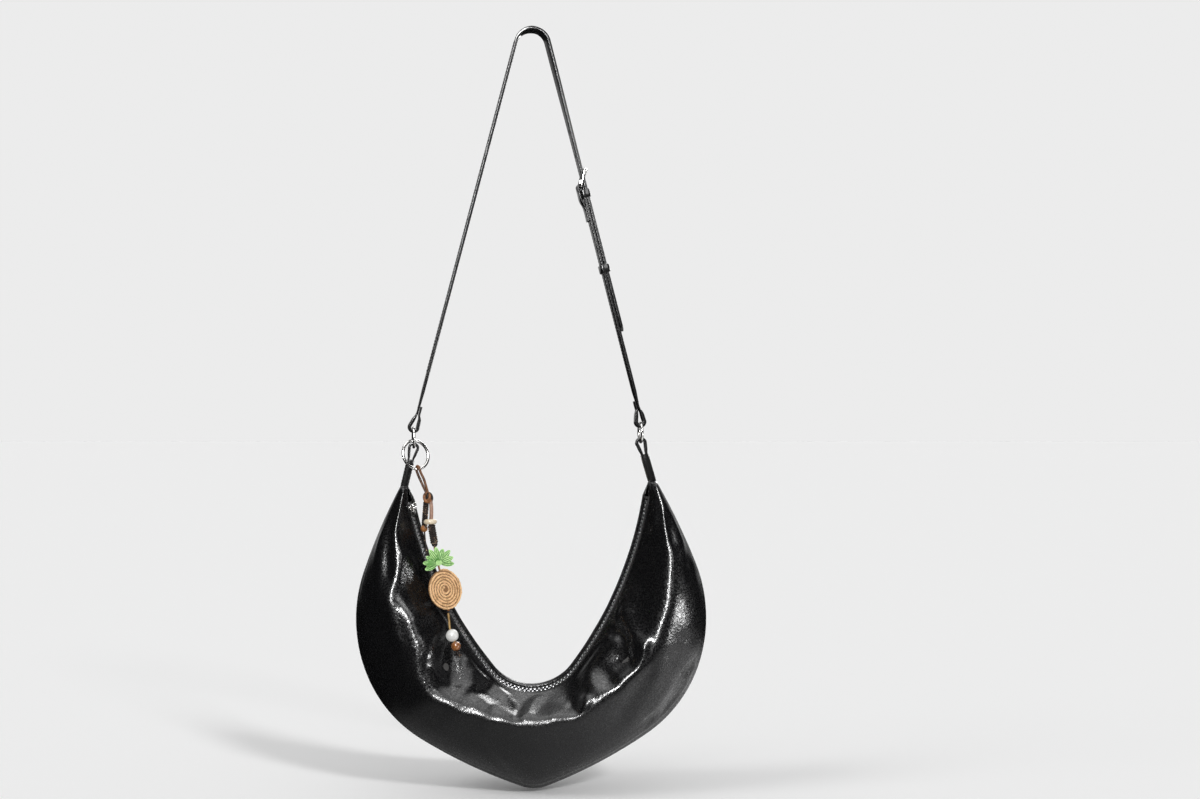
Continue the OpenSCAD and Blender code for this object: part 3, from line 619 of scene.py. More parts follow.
@dataclass
class Studio:
    """A pale seamless floor, soft lamps and the camera."""

    lens: float = 54.0
    floor_z: float = -759.5
    floor_size: float = 30.0
    pale: float = 0.838
    floor_colour: float = 0.962
    # The floor's painted light in reflections: the reach over which its glow fades into painted dark, and the
    # opposite of the glow's middle
    floor_seen: Pair = (0.1, 0.6)
    floor_glow: Triple = (-0.34, 0.06, 0.7595)
    ambient: float = 0.55
    room: float = 0.006
    ceiling: Triple = (0.7, 0.96, 3.2)
    backdrop: Triple = (0.5, 0.95, 0.55)

    def build(self) -> None:
        """Makes the camera, the floor, the world and the lamps."""
        self.add_camera()
        self.add_floor()
        self.add_world()
        self.add_sun("key", (0.55, -0.75, 0.62), 1.15, 9)
        self.add_sun("fill", (-0.7, -0.35, 0.75), 0.55, 22)
        self.add_softbox("key_box", (700, -1500, 500), (0, 0, -600), 500, 900, 7)
        self.add_softbox("front_box", (-250, -2000, 450), (-50, 0, -600), 240, 1300, 74)
        self.add_softbox("low_box", (1100, -500, -650), (200, 0, -600), 500, 160, 5.5)
        self.add_softbox("back_box", (500, 1800, 500), (0, 0, -600), 700, 1200, 16)

    def add_camera(self) -> None:
        """Puts a level camera in front of the bag."""
        data = bpy.data.cameras.new("camera")
        data.lens, data.sensor_width = self.lens, 36.0
        camera = link("camera", data)
        camera.location = EYE * MM
        camera.rotation_euler = (radians(90), 0, 0)
        bpy.context.scene.camera = camera

    def add_floor(self) -> None:
        """Makes the pale floor that the bag just meets. In reflections only, it shows painted light: a glowing patch
        beside the bag, fading into painted dark further off.
        """
        bm = bmesh.new()
        bmesh.ops.create_grid(bm, x_segments=1, y_segments=1, size=self.floor_size / 2)
        bmesh.ops.translate(bm, vec=(0, 0, self.floor_z * MM), verts=bm.verts)
        floor = link("floor", write_mesh(bm, "floor"))
        n = Nodes("pale_floor")
        # Painted light for reflections only: near its middle the floor glows as a painted reflection, and further off
        # its colour turns dark as painted shade
        from_glow = n.add("ShaderNodeVectorMath", n.object_place, self.floor_glow, operation="ADD")
        far = n.add("ShaderNodeVectorMath", from_glow.outputs["Vector"], operation="LENGTH").outputs["Value"]
        glossy = n.add("ShaderNodeLightPath").outputs["Is Glossy Ray"]
        reflection_dark_share = n.math("MULTIPLY", glossy, n.ramp(far, *self.floor_seen))
        glow = n.math("MULTIPLY", glossy, n.ramp(far, *self.floor_seen, 0.3, 0.0))
        n.set(base_color=n.mix(reflection_dark_share, (self.floor_colour,) * 3, (self.room,) * 3), roughness=1.0,
              specular_ior_level=0.0, emission_color=(1.0, 1.0, 1.0, 1.0), emission_strength=glow)
        floor.data.materials.append(n.material)

    def add_world(self) -> None:
        """Lights the room evenly, and shows the pale backdrop to the camera and to what is shiny."""
        world = bpy.data.worlds.new("studio")
        bpy.context.scene.world = world
        world.use_nodes = True
        n = Tree(world.node_tree)
        ambient = n.tree.nodes["Background"]
        n.feed(ambient.inputs["Color"], (1, 1, 1, 1))
        n.feed(ambient.inputs["Strength"], self.ambient)
        way = n.add("ShaderNodeSeparateXYZ", n.add("ShaderNodeTexCoord").outputs["Generated"])
        steps = [n.add("ShaderNodeMapRange", way.outputs[axis], low, high, self.room, bright,
                       interpolation_type="SMOOTHSTEP").outputs["Result"]
                 for axis, (low, high, bright) in (("Z", self.ceiling), ("Y", self.backdrop))]
        glow = n.add("ShaderNodeMath", *steps, operation="MAXIMUM").outputs["Value"]
        mirrored = n.add("ShaderNodeBackground", Strength=glow)
        seen = n.add("ShaderNodeBackground", Color=(self.pale, self.pale, self.pale, 1))
        path = n.add("ShaderNodeLightPath")
        shader = ambient.outputs[0]
        for light, share in ((mirrored, "Is Glossy Ray"), (seen, "Is Camera Ray")):
            shader = n.add("ShaderNodeMixShader", path.outputs[share], shader, light.outputs[0]).outputs[0]
        n.feed(n.tree.nodes["World Output"].inputs["Surface"], shader)
        bpy.context.scene.view_settings.view_transform = "Standard"

    def add_sun(self, name: str, towards: Triple, power: float, angle: float) -> None:
        """Adds an even lamp from a direction, with shadows as soft as its angle in degrees."""
        data = bpy.data.lights.new(name, "SUN")
        data.energy, data.angle = power, radians(angle)
        lamp = link(name, data)
        lamp.rotation_euler = Vector(towards).to_track_quat("Z", "Y").to_euler()
        lamp.visible_glossy = False

    def add_softbox(self, name: str, place: Triple, aim: Triple, width: float, height: float, power: float) -> None:
        """Adds a soft box of a size in millimetres that only shows in shiny surfaces."""
        data = bpy.data.lights.new(name, "AREA")
        data.shape = "RECTANGLE"
        data.size, data.size_y, data.energy = width * MM, height * MM, power
        lamp = link(name, data)
        lamp.location = Vector(place) * MM
        lamp.rotation_euler = (Vector(aim) - Vector(place)).to_track_quat("-Z", "Y").to_euler()
        lamp.visible_diffuse = False


# Body


@dataclass(frozen=True)
class Fold:
    """A crest or a valley in the leather, along points that are seen from the front at the strap's plane."""

    lift: float
    width: float
    points: tuple[Pair, ...]
    spread: ClassVar[float] = 2.6  # widths from its line within which a fold is felt
    ends: ClassVar[float] = 0.25  # the share of its lift that is left at both ends

    def push(self, at: Vector) -> float:
        """How far the fold moves the leather at a place, in millimetres."""
        reach = self.spread * self.width
        if any(not min(row) - reach < place < max(row) + reach for row, place in zip(zip(*self.points), at)):
            return 0.0
        best, share, last = 1e9, 0.0, len(self.points) - 1
        for k, (a, b) in enumerate(zip(self.points, self.points[1:])):
            a, b = Vector(a), Vector(b)
            line = b - a
            t = max(0.0, min(1.0, (at - a).dot(line) / line.length_squared))
            away = (at - a - line * t).length
            if away < best:
                best, share = away, (k + t) / last
        full = self.ends + (1 - self.ends) * eased(4 * min(share, 1 - share))
        return self.lift * exp(-(best / self.width) ** 2) * full


POCKET_FOLDS = (
    Fold(1.87, 5.23, ((-133.5, -509), (-126.5, -522), (-119.5, -534), (-116.5, -544), (-107.5, -556), (-99.5, -563))),
    Fold(2.99, 9.14, ((-107.5, -569), (-99.5, -583), (-90.5, -591), (-81.5, -593))),
    Fold(2.62, 7.83, ((-81.5, -593), (-91.5, -601), (-99.5, -614), (-101.5, -624), (-99.5, -637))),
    Fold(-2.99, 9.14, ((-69.5, -605), (-83.5, -614), (-87.5, -629), (-91.5, -649))),
    Fold(3.74, 10.5, ((-69.5, -621), (-63.5, -637), (-57.5, -651), (-55.5, -664))),
    Fold(-2.99, 7.83, ((-76.5, -624), (-79.5, -644), (-75.5, -661))),
    Fold(2.62, 5.87, ((-57.5, -643), (-47.5, -648), (-36.5, -650), (-31.5, -657), (-25.5, -669), (-17.5, -681))),
    Fold(-2.25, 7.83, ((-51.5, -653), (-43.5, -661), (-35.5, -673))),
    Fold(1.87, 6.53, ((-66.5, -675), (-51.5, -670), (-36.5, -674), (-23.5, -684))),
    Fold(2.25, 5.23, ((13.5, -659), (5.5, -668), (-4.5, -680), (-15.5, -692))),
    Fold(-2.25, 7.83, ((-11.5, -673), (-15.5, -685), (-17.5, -693))),
    Fold(2.25, 5.23, ((56.5, -663), (54.5, -674), (51.5, -683))),
    Fold(-2.25, 6.53, ((34.5, -671), (43.5, -678), (51.5, -684))),
    Fold(3.74, 10.5, ((58.5, -669), (58.5, -649), (65.5, -633), (75.5, -621), (86.5, -612), (96.5, -610))),
    Fold(-3.74, 10.5, ((68.5, -659), (76.5, -641), (90.5, -627), (103.5, -624))),
    Fold(2.99, 9.14, ((87.5, -567), (93.5, -584), (100.5, -601), (108.5, -614), (111.5, -624))),
    Fold(-2.25, 7.83, ((76.5, -599), (88.5, -603), (98.5, -615))),
    Fold(1.87, 4.58, ((114.5, -609), (113.5, -627), (109.5, -641), (98.5, -647))),
    Fold(2.25, 10.5, ((102.5, -551), (96.5, -569), (90.5, -587))),
    Fold(1.5, 5.23, ((119.5, -461), (121.5, -479), (120.5, -504))),
)
BAND_FOLDS = (
    Fold(2.5, 7, ((-139.5, -466), (-147.5, -494), (-150.5, -524), (-152.5, -559), (-148.5, -589))),
    Fold(-2.5, 5, ((-135.5, -469), (-142.5, -499), (-144.5, -529), (-142.5, -559))),
    Fold(2, 6, ((-141.5, -539), (-142.5, -569), (-137.5, -599), (-128.5, -624))),
    Fold(2.5, 4, ((138.5, -474), (143.5, -491), (148.5, -509), (152.5, -531))),
    Fold(-2.5, 4, ((135.5, -477), (139.5, -497), (143.5, -517))),
    Fold(1.5, 5, ((160.5, -517), (167.5, -539), (172.5, -559))),
    Fold(-0.7, 5, ((-61.5, -699), (-41.5, -723), (-16.5, -749))),
    Fold(2, 8, ((133.5, -637), (113.5, -669), (93.5, -699))),
    Fold(-2, 8, ((123.5, -634), (104.5, -664), (80.5, -697))),
    Fold(2, 7, ((158.5, -619), (136.5, -659), (113.5, -689))),
    Fold(-2.5, 8, ((166, -534), (158, -530))),
    Fold(-3, 9, ((161, -641), (154, -636))),
    Fold(-2, 8, ((122, -691), (116, -685))),
    Fold(-2.5, 9, ((152, -609), (145, -659), (129, -689))),
)
BACK_FOLDS = (
    Fold(2.4, 13.5, ((-118, -520), (-112, -560), (-96, -600), (-84, -640))),
    Fold(-2.4, 12, ((-96, -600), (-70, -622), (-52, -660))),
    Fold(2.4, 12, ((-40, -652), (-22, -676), (-8, -690))),
    Fold(-3, 10.5, ((4, -664), (10, -690), (4, -706))),
    Fold(2.4, 12, ((20, -658), (40, -676), (58, -680))),
    Fold(-2.4, 12, ((70, -620), (84, -648), (92, -670))),
    Fold(2.4, 13.5, ((116, -500), (110, -550), (96, -600), (90, -630))),
    Fold(-1.8, 15, ((140, -520), (134, -580), (120, -640))),
    Fold(-1.8, 15, ((-148, -520), (-140, -590), (-124, -650))),
)


# The places of the lip's end and of the ridge in a cross-section, and the weights of its rounding
LIP_V, RIDGE_V = 0.06, 0.46
BLUR = (0.04, 0.12, 0.21, 0.26, 0.21, 0.12, 0.04)


@dataclass(eq=False)
class Crescent:
    """The form of the leather body, in millimetres in the bag's own frame."""

    width: float = 351.0
    height: float = 305.0
    depth: float = 112.0
    tip_depth: float = 15.0
    tip_width: float = 9.0
    zip_bottom_radius: float = 52.0
    zip_limb_radius: float = 395.0
    bottom_turn: float = 52.0
    limb_turn: float = 29.5
    lip_y: float = 4.7
    lip_width: float = 4.0
    leather: float = 1.4
    zip_lean: float = 24.0
    turns: tuple[float, ...] = (20, 13, 37, 40, 7.8)
    radius_shares: tuple[float, ...] = (0.2, 2.85, 0.77, 0.855, 3.79)
    left_ridge: tuple[Pair, ...] = (
        (0, 0.25), (0.1, 0.28), (0.2, 0.33), (0.3, 0.43), (0.38, 0.5), (0.43, 0.48), (0.54, 0.37), (0.6, 0.365),
        (0.69, 0.45), (0.78, 0.38), (0.88, 0.5), (1, 0.38))
    right_ridge: tuple[Pair, ...] = (
        (0, 0.25), (0.1, 0.28), (0.2, 0.355), (0.3, 0.36), (0.38, 0.41), (0.46, 0.475), (0.55, 0.5), (0.7, 0.53),
        (0.85, 0.6), (0.95, 0.68), (1, 0.7))
    back_ridge: tuple[Pair, ...] = ((0, 0.27), (0.2, 0.32), (0.5, 0.44), (0.8, 0.5), (1, 0.5))
    across: int = 260
    down: int = 84
    soften: float = 0.2
    station_power: float = 1.3
    pocket_bow: Pair = (1.75, 1.55)
    band_bow: Pair = (1.24, 1.2)
    depth_bow: Pair = (2.2, 0.8)
    lean_bow: float = 1.4
    upright_tip: float = 22.0
    seam_width: float = 1.8
    seam_pull: float = 1.4
    seam_swell: float = 0.12
    lip_free: float = 0.12
    base_free: float = 0.06
    ridge_reach: float = 0.16
    ridge_kept: float = 0.7

    def __post_init__(self) -> None:
        """Works out the two curves that bound the crescent."""
        self.bottom_arc = self.zip_bottom_radius * radians(self.bottom_turn)
        self.zip_half = self.bottom_arc + self.zip_limb_radius * radians(self.limb_turn)
        gap = self.zip_limb_radius - self.zip_bottom_radius
        self.limb_x = -gap * sin(radians(self.bottom_turn))
        self.limb_z = self.zip_bottom_radius + gap * cos(radians(self.bottom_turn))
        self.zip_turn = self.bottom_turn + self.limb_turn
        rise = self.limb_z - self.zip_limb_radius * cos(radians(self.zip_turn))
        self.zip_z = -TAB_LENGTH - rise
        self.tip_x = self.limb_x + self.zip_limb_radius * sin(radians(self.zip_turn)) + self.tip_width
        self.corners = [(0.0, 0.0)]
        for i, (radius, angle) in enumerate(zip(self.radius_shares, self.turns)):
            self.corners.append(self.arc_end(self.corners[-1], radius, sum(self.turns[:i]), angle))

    @staticmethod
    def arc_end(start: Pair, radius: float, bearing: float, angle: float) -> Pair:
        """The end of an arc that leaves a point on a bearing."""
        a, b = radians(bearing), radians(bearing + angle)
        return start[0] + radius * (sin(b) - sin(a)), start[1] + radius * (cos(a) - cos(b))

    def zip_angle(self, run: float) -> float:
        """The turn of the zip's line, in degrees, a distance along it from its lowest point."""
        if run < self.bottom_arc:
            return degrees(run / self.zip_bottom_radius)
        return self.bottom_turn + degrees((run - self.bottom_arc) / self.zip_limb_radius)

    def zip_point(self, run: float) -> Pair:
        """A point of the right half of the zip's line."""
        angle = radians(self.zip_angle(run))
        if run < self.bottom_arc:
            return self.zip_bottom_radius * sin(angle), self.zip_z + self.zip_bottom_radius * (1 - cos(angle))
        return (self.limb_x + self.zip_limb_radius * sin(angle),
                self.zip_z + self.limb_z - self.zip_limb_radius * cos(angle))

    def outer_point(self, q: float) -> Pair:
        """A point of the right half of the outer curve, from 0 at the base to 1 at the tip."""
        runs = [r * radians(t) for r, t in zip(self.radius_shares, self.turns)]
        left, i, bearing = q * sum(runs), 0, 0.0
        while i < len(runs) - 1 and left >= runs[i]:
            left -= runs[i]
            bearing += self.turns[i]
            i += 1
        x, z = self.arc_end(self.corners[i], self.radius_shares[i], bearing, degrees(left / self.radius_shares[i]))
        rim_x, rim_z = self.corners[-1]
        up = z / rim_z
        return (x * self.width / 2 + (self.tip_x - rim_x * self.width / 2) * up ** 4,
                -TAB_LENGTH - self.height * (1 - up))

    def half_depth(self, q: float) -> float:
        """Half the body's depth at a station from 0 to 1."""
        inner, outer = self.depth_bow
        return (self.tip_depth + (self.depth - self.tip_depth) * (1 - q ** inner) ** outer) / 2

    def blurred(self, q: float, v: float, spread: float, front: bool) -> Pair:
        """The mean of the sharp cross-section around a place in it."""
        near = [self.sharp_section(q, v + spread * k / 3, front) for k in range(-3, 4)]
        return tuple(sum(part * place[k] for part, place in zip(BLUR, near)) for k in (0, 1))

    def section(self, q: float, v: float, front: bool) -> Pair:
        """A point of a cross-section with its ridge rounded, in the terms of the sharp one."""
        free = min(1.0, max(0.0, (v - LIP_V) / self.lip_free), max(0.0, (1 - v) / self.base_free))
        if free == 0:
            return self.sharp_section(q, v, front)
        r, y = self.blurred(q, v, self.soften * free, front)
        back, out = self.ridge_shift(q, front)
        near_ridge = free * exp(-((v - RIDGE_V) / self.ridge_reach) ** 2)
        return r + back * near_ridge, y + self.ridge_kept * out * near_ridge

    @functools.lru_cache(maxsize=None)
    def ridge_shift(self, q: float, front: bool) -> Pair:
        """How far the rounding draws the ridge from its place, at one station."""
        sharp, soft = self.sharp_section(q, RIDGE_V, front), self.blurred(q, RIDGE_V, self.soften, front)
        return sharp[0] - soft[0], sharp[1] - soft[1]

    @functools.lru_cache(maxsize=None)
    def ends(self, q: float) -> tuple[Pair, Pair]:
        """The places on the zip's line and on the outer curve at a station, for the right half."""
        return self.zip_point(self.zip_half * abs(q) ** self.station_power), self.outer_point(abs(q))

    @functools.lru_cache(maxsize=None)
    def sharp_section(self, q: float, v: float, front: bool) -> Pair:
        """A point of a cross-section, as distances from the zip's line and from the middle plane.

        Args:
            q: the station, from -1 at the left tip to 1 at the right one.
            v: the place in the section, from 0 at the lip to 1 at the base seam.
            front: whether it is the front's section or the back's.

        Returns:
            The distance away from the zip, and the distance out from the middle plane.
        """
        (zx, zz), (ox, oz) = self.ends(q)
        wide, deep = hypot(ox - zx, oz - zz), self.half_depth(abs(q))
        ridge = self.back_ridge if not front else self.left_ridge if q < 0 else self.right_ridge
        crest = wide * through(ridge, abs(q))
        lip_end = self.lip_y + min(self.lip_width, (deep - self.lip_y) / 2)
        fade = 0.0
        if v < LIP_V:
            r, y, fade = 0.0, self.lip_y + (lip_end - self.lip_y) * v / LIP_V, 1.0
        elif v < RIDGE_V:
            k = radians(90 * (v - LIP_V) / (RIDGE_V - LIP_V))
            bow = self.pocket_bow[0 if front else 1]
            r, y = crest * (1 - cos(k) ** bow), lip_end + (deep - lip_end) * sin(k) ** bow
            fade = max(0.0, 1 - (y - lip_end) / max(deep - lip_end, 1))
        else:
            k = radians(90 * (v - RIDGE_V) / (1 - RIDGE_V))
            r = crest + (wide - crest) * sin(k) ** self.band_bow[0]
            y = deep * max(0.0, cos(k)) ** self.band_bow[1]
        full = self.zip_lean * min(1.0, (1 - abs(q)) * self.upright_tip)
        lean = radians(full if front else -full) * fade ** self.lean_bow
        r, y = r + y * sin(lean), y * cos(lean)
        seam = exp(-((1 - v) * wide / self.seam_width) ** 2)
        return r - self.seam_pull * seam, y + self.seam_swell * seam

    def point(self, q: float, v: float, front: bool) -> Vector:
        """A point of the leather's outer surface in the bag's frame."""
        (zx, zz), (ox, oz) = self.ends(q)
        away = Vector((ox - zx, oz - zz)).normalized()
        r, y = self.section(q, v, front)
        side = -1 if q < 0 else 1
        return Vector((side * (zx + away.x * r), -y if front else y, zz + away.y * r))


@dataclass
class BagBody(Part):
    """The two leather panels, the lining and its pocket."""

    form: Crescent
    cloth_thick: float = 0.5
    band_start: float = 0.4
    band_fade: float = 0.07
    wave: Pair = (0.025, 0.5)
    crease: Pair = (0.09, 0.08)

    def build(self) -> None:
        """Makes each piece of the body."""
        self.panel("front_leather", True, POCKET_FOLDS, BAND_FOLDS, "front_panel")
        self.panel("back_leather", False, BACK_FOLDS, (), "back_panel")
        self.inner_bag()

    def skin(self, front: bool, across: int, down: int, q_end: float = 1.0, v_from: float = 0.0,
             v_to: float = 1.0) -> tuple[BMesh, list[float]]:
        """Lofts a part of one side.

        Args:
            front: whether it is the front's side.
            across: the steps from tip to tip.
            down: the steps from the lip to the base.
            q_end: the station that it ends at on both sides.
            v_from: its first place in the section.
            v_to: its last place in the section.

        Returns:
            The mesh, and the place of each vertex in its section.
        """
        bm = bmesh.new()
        bmesh.ops.create_grid(bm, x_segments=across, y_segments=down, size=1.0)
        shares = [v_from + (v_to - v_from) * (vert.co.y + 1) / 2 for vert in bm.verts]
        for vert, share in zip(bm.verts, shares):
            vert.co = self.form.point(max(-1.0, min(1.0, vert.co.x * q_end)), share, front)
        bmesh.ops.recalc_face_normals(bm, faces=bm.faces)
        if (bm.faces[len(bm.faces) // 2].normal.y > 0) == front:
            bmesh.ops.reverse_faces(bm, faces=bm.faces)
        bm.normal_update()
        return bm, shares

    def panel(self, name: str, front: bool, pocket: Sequence[Fold], band: Sequence[Fold], node: str) -> None:
        """Makes one panel with its folds and its thickness."""
        bm, shares = self.skin(front, self.form.across, self.form.down)
        self.sculpt(bm, shares, pocket, band, front)
        thicken(self.piece(bm, name, "body", "body_leather", node), self.form.leather)

    def sculpt(self, bm: BMesh, shares: Sequence[float], pocket: Sequence[Fold],
               band: Sequence[Fold], front: bool) -> None:
        """Moves the surface along its normals by the folds and by a fine uneven creasing.

        Args:
            bm: the panel's mesh.
            shares: the place of each vertex in its section, from 0 at the lip to 1 at the base seam.
            pocket: folds of the soft side between the lip and the ridge.
            band: folds of the band between the ridge and the base seam.
            front: whether it is the front panel.
        """
        moves = []
        for vert, share in zip(bm.verts, shares):
            place = BAG @ vert.co
            scale = abs(EYE.y) / abs(EYE.y - (place.y if front else -place.y))
            seen = Vector((EYE.x + (place.x - EYE.x) * scale, EYE.z + (place.z - EYE.z) * scale))
            over = eased((share - self.band_start) / self.band_fade) if band else 0.0
            push = (1 - over) * sum(f.push(seen) for f in pocket) + over * sum(f.push(seen) for f in band)
            free = eased((abs(place.y) - 9) / 10)
            rim = eased(abs(place.y) / 16)
            wave = noise.fractal(place * self.wave[0] + Vector((0, 0 if front else 9, 0)), 1.0, 2.1, 2)
            fine = noise.fractal(place * self.crease[0], 0.9, 2.2, 2)
            push = (push * min(1.0, 0.25 + free) + self.wave[1] * wave + self.crease[1] * fine) * rim
            moves.append((vert, vert.co + vert.normal * push))
        for vert, place in moves:
            vert.co = place

    def inner_bag(self) -> None:
        """Makes the lining and the slip pocket as thin cloth inside the leather."""
        for name, node, finish, inset, part, sides in (
                ("lining_cloth", "lining", "lining", 3.6, (0.93, 0.02, 1.0), (True, False)),
                ("pocket_cloth", "slip_pocket", "pocket", 5.4, (0.32, 0.56, 0.8), (False,))):
            whole = bmesh.new()
            for front in sides:
                bm, _ = self.skin(front, 70, 30, *part)
                for vert, normal in [(vert, vert.normal.copy()) for vert in bm.verts]:
                    vert.co -= normal * min(inset, 0.62 * abs(vert.co.y) + 0.2)
                join_in(whole, bm)
            thicken(self.piece(whole, name, finish, name, node), self.cloth_thick)


# Strap and buckle


@dataclass
class Strap(Part):
    """The strap with its folded ends, its buckle and its keepers, in millimetres."""

    home: ClassVar[Body] = Body.STRAP
    width: float = 13.0
    thick: float = 3.0
    ply: float = PLY
    end_width: float = PLY_WIDTH
    crown: float = 15.0
    twist: float = 9.0
    crown_tilt: float = 14.0
    short: float = 243.0
    tongue: float = 150.0
    tail: float = 35.0
    loop_reach: float = 4.15
    bar: float = 3.0
    prong: float = 2.0
    buckle: float = 18.0
    hole: float = 2.0
    oval: float = 9.4
    oval_z: float = 249.6
    hole_pitch: float = 25.0
    keeper: Triple = (8.0, 1.3, 85.0)
    end_roll: Pair = (11.0, 85.0)
    grow_start: float = 16.0
    fold_top: float = 18.0

    def __post_init__(self) -> None:
        """Works out the frames of the two legs."""
        self.fold = self.bar / 2 + SKIN + self.ply
        self.stack = self.fold + SKIN + self.thick / 2
        self.mid = self.crown + self.thick / 2
        self.lap = self.mid - self.stack * cos(radians(self.twist))
        self.legs, self.tilts, self.runs = {}, {}, {}
        for side, reach in ((Side.LEFT, self.mid), (Side.RIGHT, self.lap)):
            foot = BAG @ Vector((side * RING_SPAN / 2, 0, RING_C))
            away = hypot(foot.x, foot.z + self.crown)
            tilt = degrees(atan2(abs(foot.x), -self.crown - foot.z) - asin(reach / away))
            self.tilts[side], self.runs[side] = tilt, sqrt(away ** 2 - reach ** 2)
            self.legs[side] = (Matrix.Translation(foot) @ turn(-side * tilt, "Y") @ turn(self.twist, "Z")
                               @ Matrix.Diagonal((side, 1, 1, 1)))
        self.bend = self.tilts[Side.LEFT] - 90, 90 - self.tilts[Side.RIGHT]
        self.heel = self.legs[Side.RIGHT] @ shift(0, 0, self.short)
        self.lean = degrees(asin((self.stack + self.thick / 2 + FIT + self.bar / 2) / self.buckle))
        self.prong_lean = self.lean + degrees(asin((self.bar / 2 + self.prong / 2 + 0.05) / self.buckle))

    def build(self) -> None:
        """Makes the leather, the buckle and the keepers."""
        self.long_strap()
        self.short_strap()
        self.keepers()
        self.buckle_frame()
        self.buckle_prong()

    def loop_run(self, start: float, finish: float) -> list[Pair]:
        """A ply round a ring, from a tail on one side to the strap on the other, as outward and upward places."""
        low = [(start, SEAT + 21.5), (start, SEAT + 16), (start, SEAT + 12.6), (start - 1.3, SEAT + 8.5)]
        bend = [(x, SEAT + z) for x, z in (polar(self.loop_reach, a) for a in range(165, 376, 15))]
        return low + bend + [(finish + 1.6, SEAT + 9), (finish + 0.3, SEAT + 13), (finish, SEAT + 17)]

    def grown(self, up: float) -> Pair:
        """The width and the thickness of a strap at a height, where it grows out of its folded end."""
        share = eased((up - SEAT - self.grow_start) / self.grow_start)
        return (self.end_width + (self.width - self.end_width) * share, self.ply + (self.thick - self.ply) * share)

    def crown_point(self, angle: float, back: float = 0.0) -> tuple[Vector, Vector]:
        """The middle of the strap at a turn round its top bend, and its direction across."""
        start, finish = self.bend
        roll = (self.twist - (self.crown_tilt + self.twist) * (angle - start) / -start if angle < 0
                else -self.crown_tilt + (self.crown_tilt - self.twist) * angle / finish)
        if angle > 0:
            roll -= self.end_roll[0] * eased(angle / finish) * exp(-(back / self.end_roll[1]) ** 2)
        a, roll = radians(angle), radians(roll)
        out, along = Vector((sin(a), 0, cos(a))), Vector((cos(a), 0, -sin(a)))
        sideways = self.stack * sin(radians(self.twist)) * (angle - start) / (finish - start)
        place = Vector((0, sideways, -self.crown)) + out * self.mid + along * back
        return place, (Vector((0, cos(roll), 0)) + out * sin(roll)).normalized()

    def strip(self, stops: Sequence[tuple[Vector, Vector, float, float]]) -> BMesh:
        """A strap through stops, each a place, a direction across, a width and a thickness."""
        frames, outlines = [], []
        places = [stop[0] for stop in stops]
        for i, (place, across, width, thick) in enumerate(stops):
            along = heading(places, i)
            across = (across - along * across.dot(along)).normalized()
            frames.append(axes(across, along.cross(across), along, place))
            outlines.append(slab_outline(width, thick, min(0.75, thick * 0.4)))
        return sweep(frames, lambda share: outlines[round(share * (len(stops) - 1))])

    def leg_stops(self, side: Side, run: Sequence[tuple[float, float, float, float]]) -> list:
        """Stops of a strap on one leg, from rows of outward and upward place, width and thickness."""
        leg = self.legs[side]
        across = (leg.to_3x3() @ INWARD).normalized()
        return [(leg @ Vector((x, 0, z)), across, width, thick) for x, z, width, thick in run]

    def long_strap(self) -> None:
        """Makes the long strap from the left ring over the top to its free end."""
        run = smooth_path([(x, z, 0) for x, z in self.loop_run(-2.4, 0.0)], 3)
        stops = self.leg_stops(Side.LEFT, [(p.x, p.y, self.end_width, loop_ply(p.x, p.y - SEAT)) for p in run])
        start, finish = self.bend
        full = self.runs[Side.LEFT]
        for k in range(1, 19):
            up = SEAT + self.fold_top + (full - SEAT - self.fold_top) * k / 19
            stops.append((*self.crown_point(start, up - full), *self.grown(up)))
        for k in range(29):
            stops.append((*self.crown_point(start + (finish - start) * k / 28), self.width, self.thick))
        end = self.runs[Side.RIGHT] - self.short + self.tongue
        tip = self.width / 2
        for k in range(1, 22):
            stops.append((*self.crown_point(finish, (end - tip) * k / 21), self.width, self.thick))
        for share in (0.2, 0.4, 0.57, 0.72, 0.84, 0.93, 0.98, 0.999):
            wide = self.width * sqrt(1 - share ** 2)
            stops.append((*self.crown_point(finish, end - tip + tip * share), max(wide, 0.9), self.thick))
        tools = bmesh.new()
        for k in (-2, -1, 1, 2, 3, 4):
            self.punch(tools, self.oval_z - k * self.hole_pitch, self.hole, 0)
        self.punch(tools, self.oval_z, self.hole, self.oval - 2 * self.hole)
        bm = carve(self.strip(stops), tools)
        self.piece(bm, "long_strap_leather", "strap", "strap_leather", "long_strap", place=ROW, sharp=38)
        seams = bmesh.new()
        self.edge_stitches(seams, stops[len(run) + 1:-9])
        self.fold_stitches(seams, Side.LEFT, -3.3, 1.2)
        self.piece(seams, "long_strap_stitches", "thread", "strap_leather", place=ROW)

    def edge_stitches(self, bm: BMesh, stops: Sequence) -> None:
        """Sews a row of small stitches along both edges of a strap, on both faces."""
        places = [stop[0] for stop in stops]
        for way in (-1, 1):
            for face in (-1, 1):
                points, lifts = [], []
                for i, (place, across, width, thick) in enumerate(stops):
                    out = heading(places, i).cross(across).normalized() * face
                    points.append(place + across * way * (width / 2 - 1.5) + out * (thick / 2 + 0.02))
                    lifts.append(out)
                sew(bm, points, lifts, EDGE_STITCH)

    def fold_stitches(self, bm: BMesh, side: Side, inner: float, outer: float) -> None:
        """Sews across a folded end, just above its ring."""
        leg = self.legs[side]
        for face, x in ((-1, inner), (1, outer)):
            out = (leg.to_3x3() @ Vector((face, 0, 0))).normalized()
            for z in (SEAT + 13.6, SEAT + 20.2):
                points = [leg @ Vector((x, y, z)) for y in (-3.4, 0, 3.4)]
                sew(bm, points, [out] * 3, FOLD_STITCH)

    def punch(self, tools: BMesh, height: float, radius: float, long: float) -> None:
        """Adds a cutter for a round or a long hole through the strap on the right leg."""
        frame = self.legs[Side.RIGHT] @ shift(self.stack - 4, 0, height) @ turn(90, "Y")
        outline = slab_outline(2 * radius + long, 2 * radius, radius - 0.01, 8)
        join_in(tools, sweep([frame, frame @ shift(0, 0, 8)], lambda _: outline))

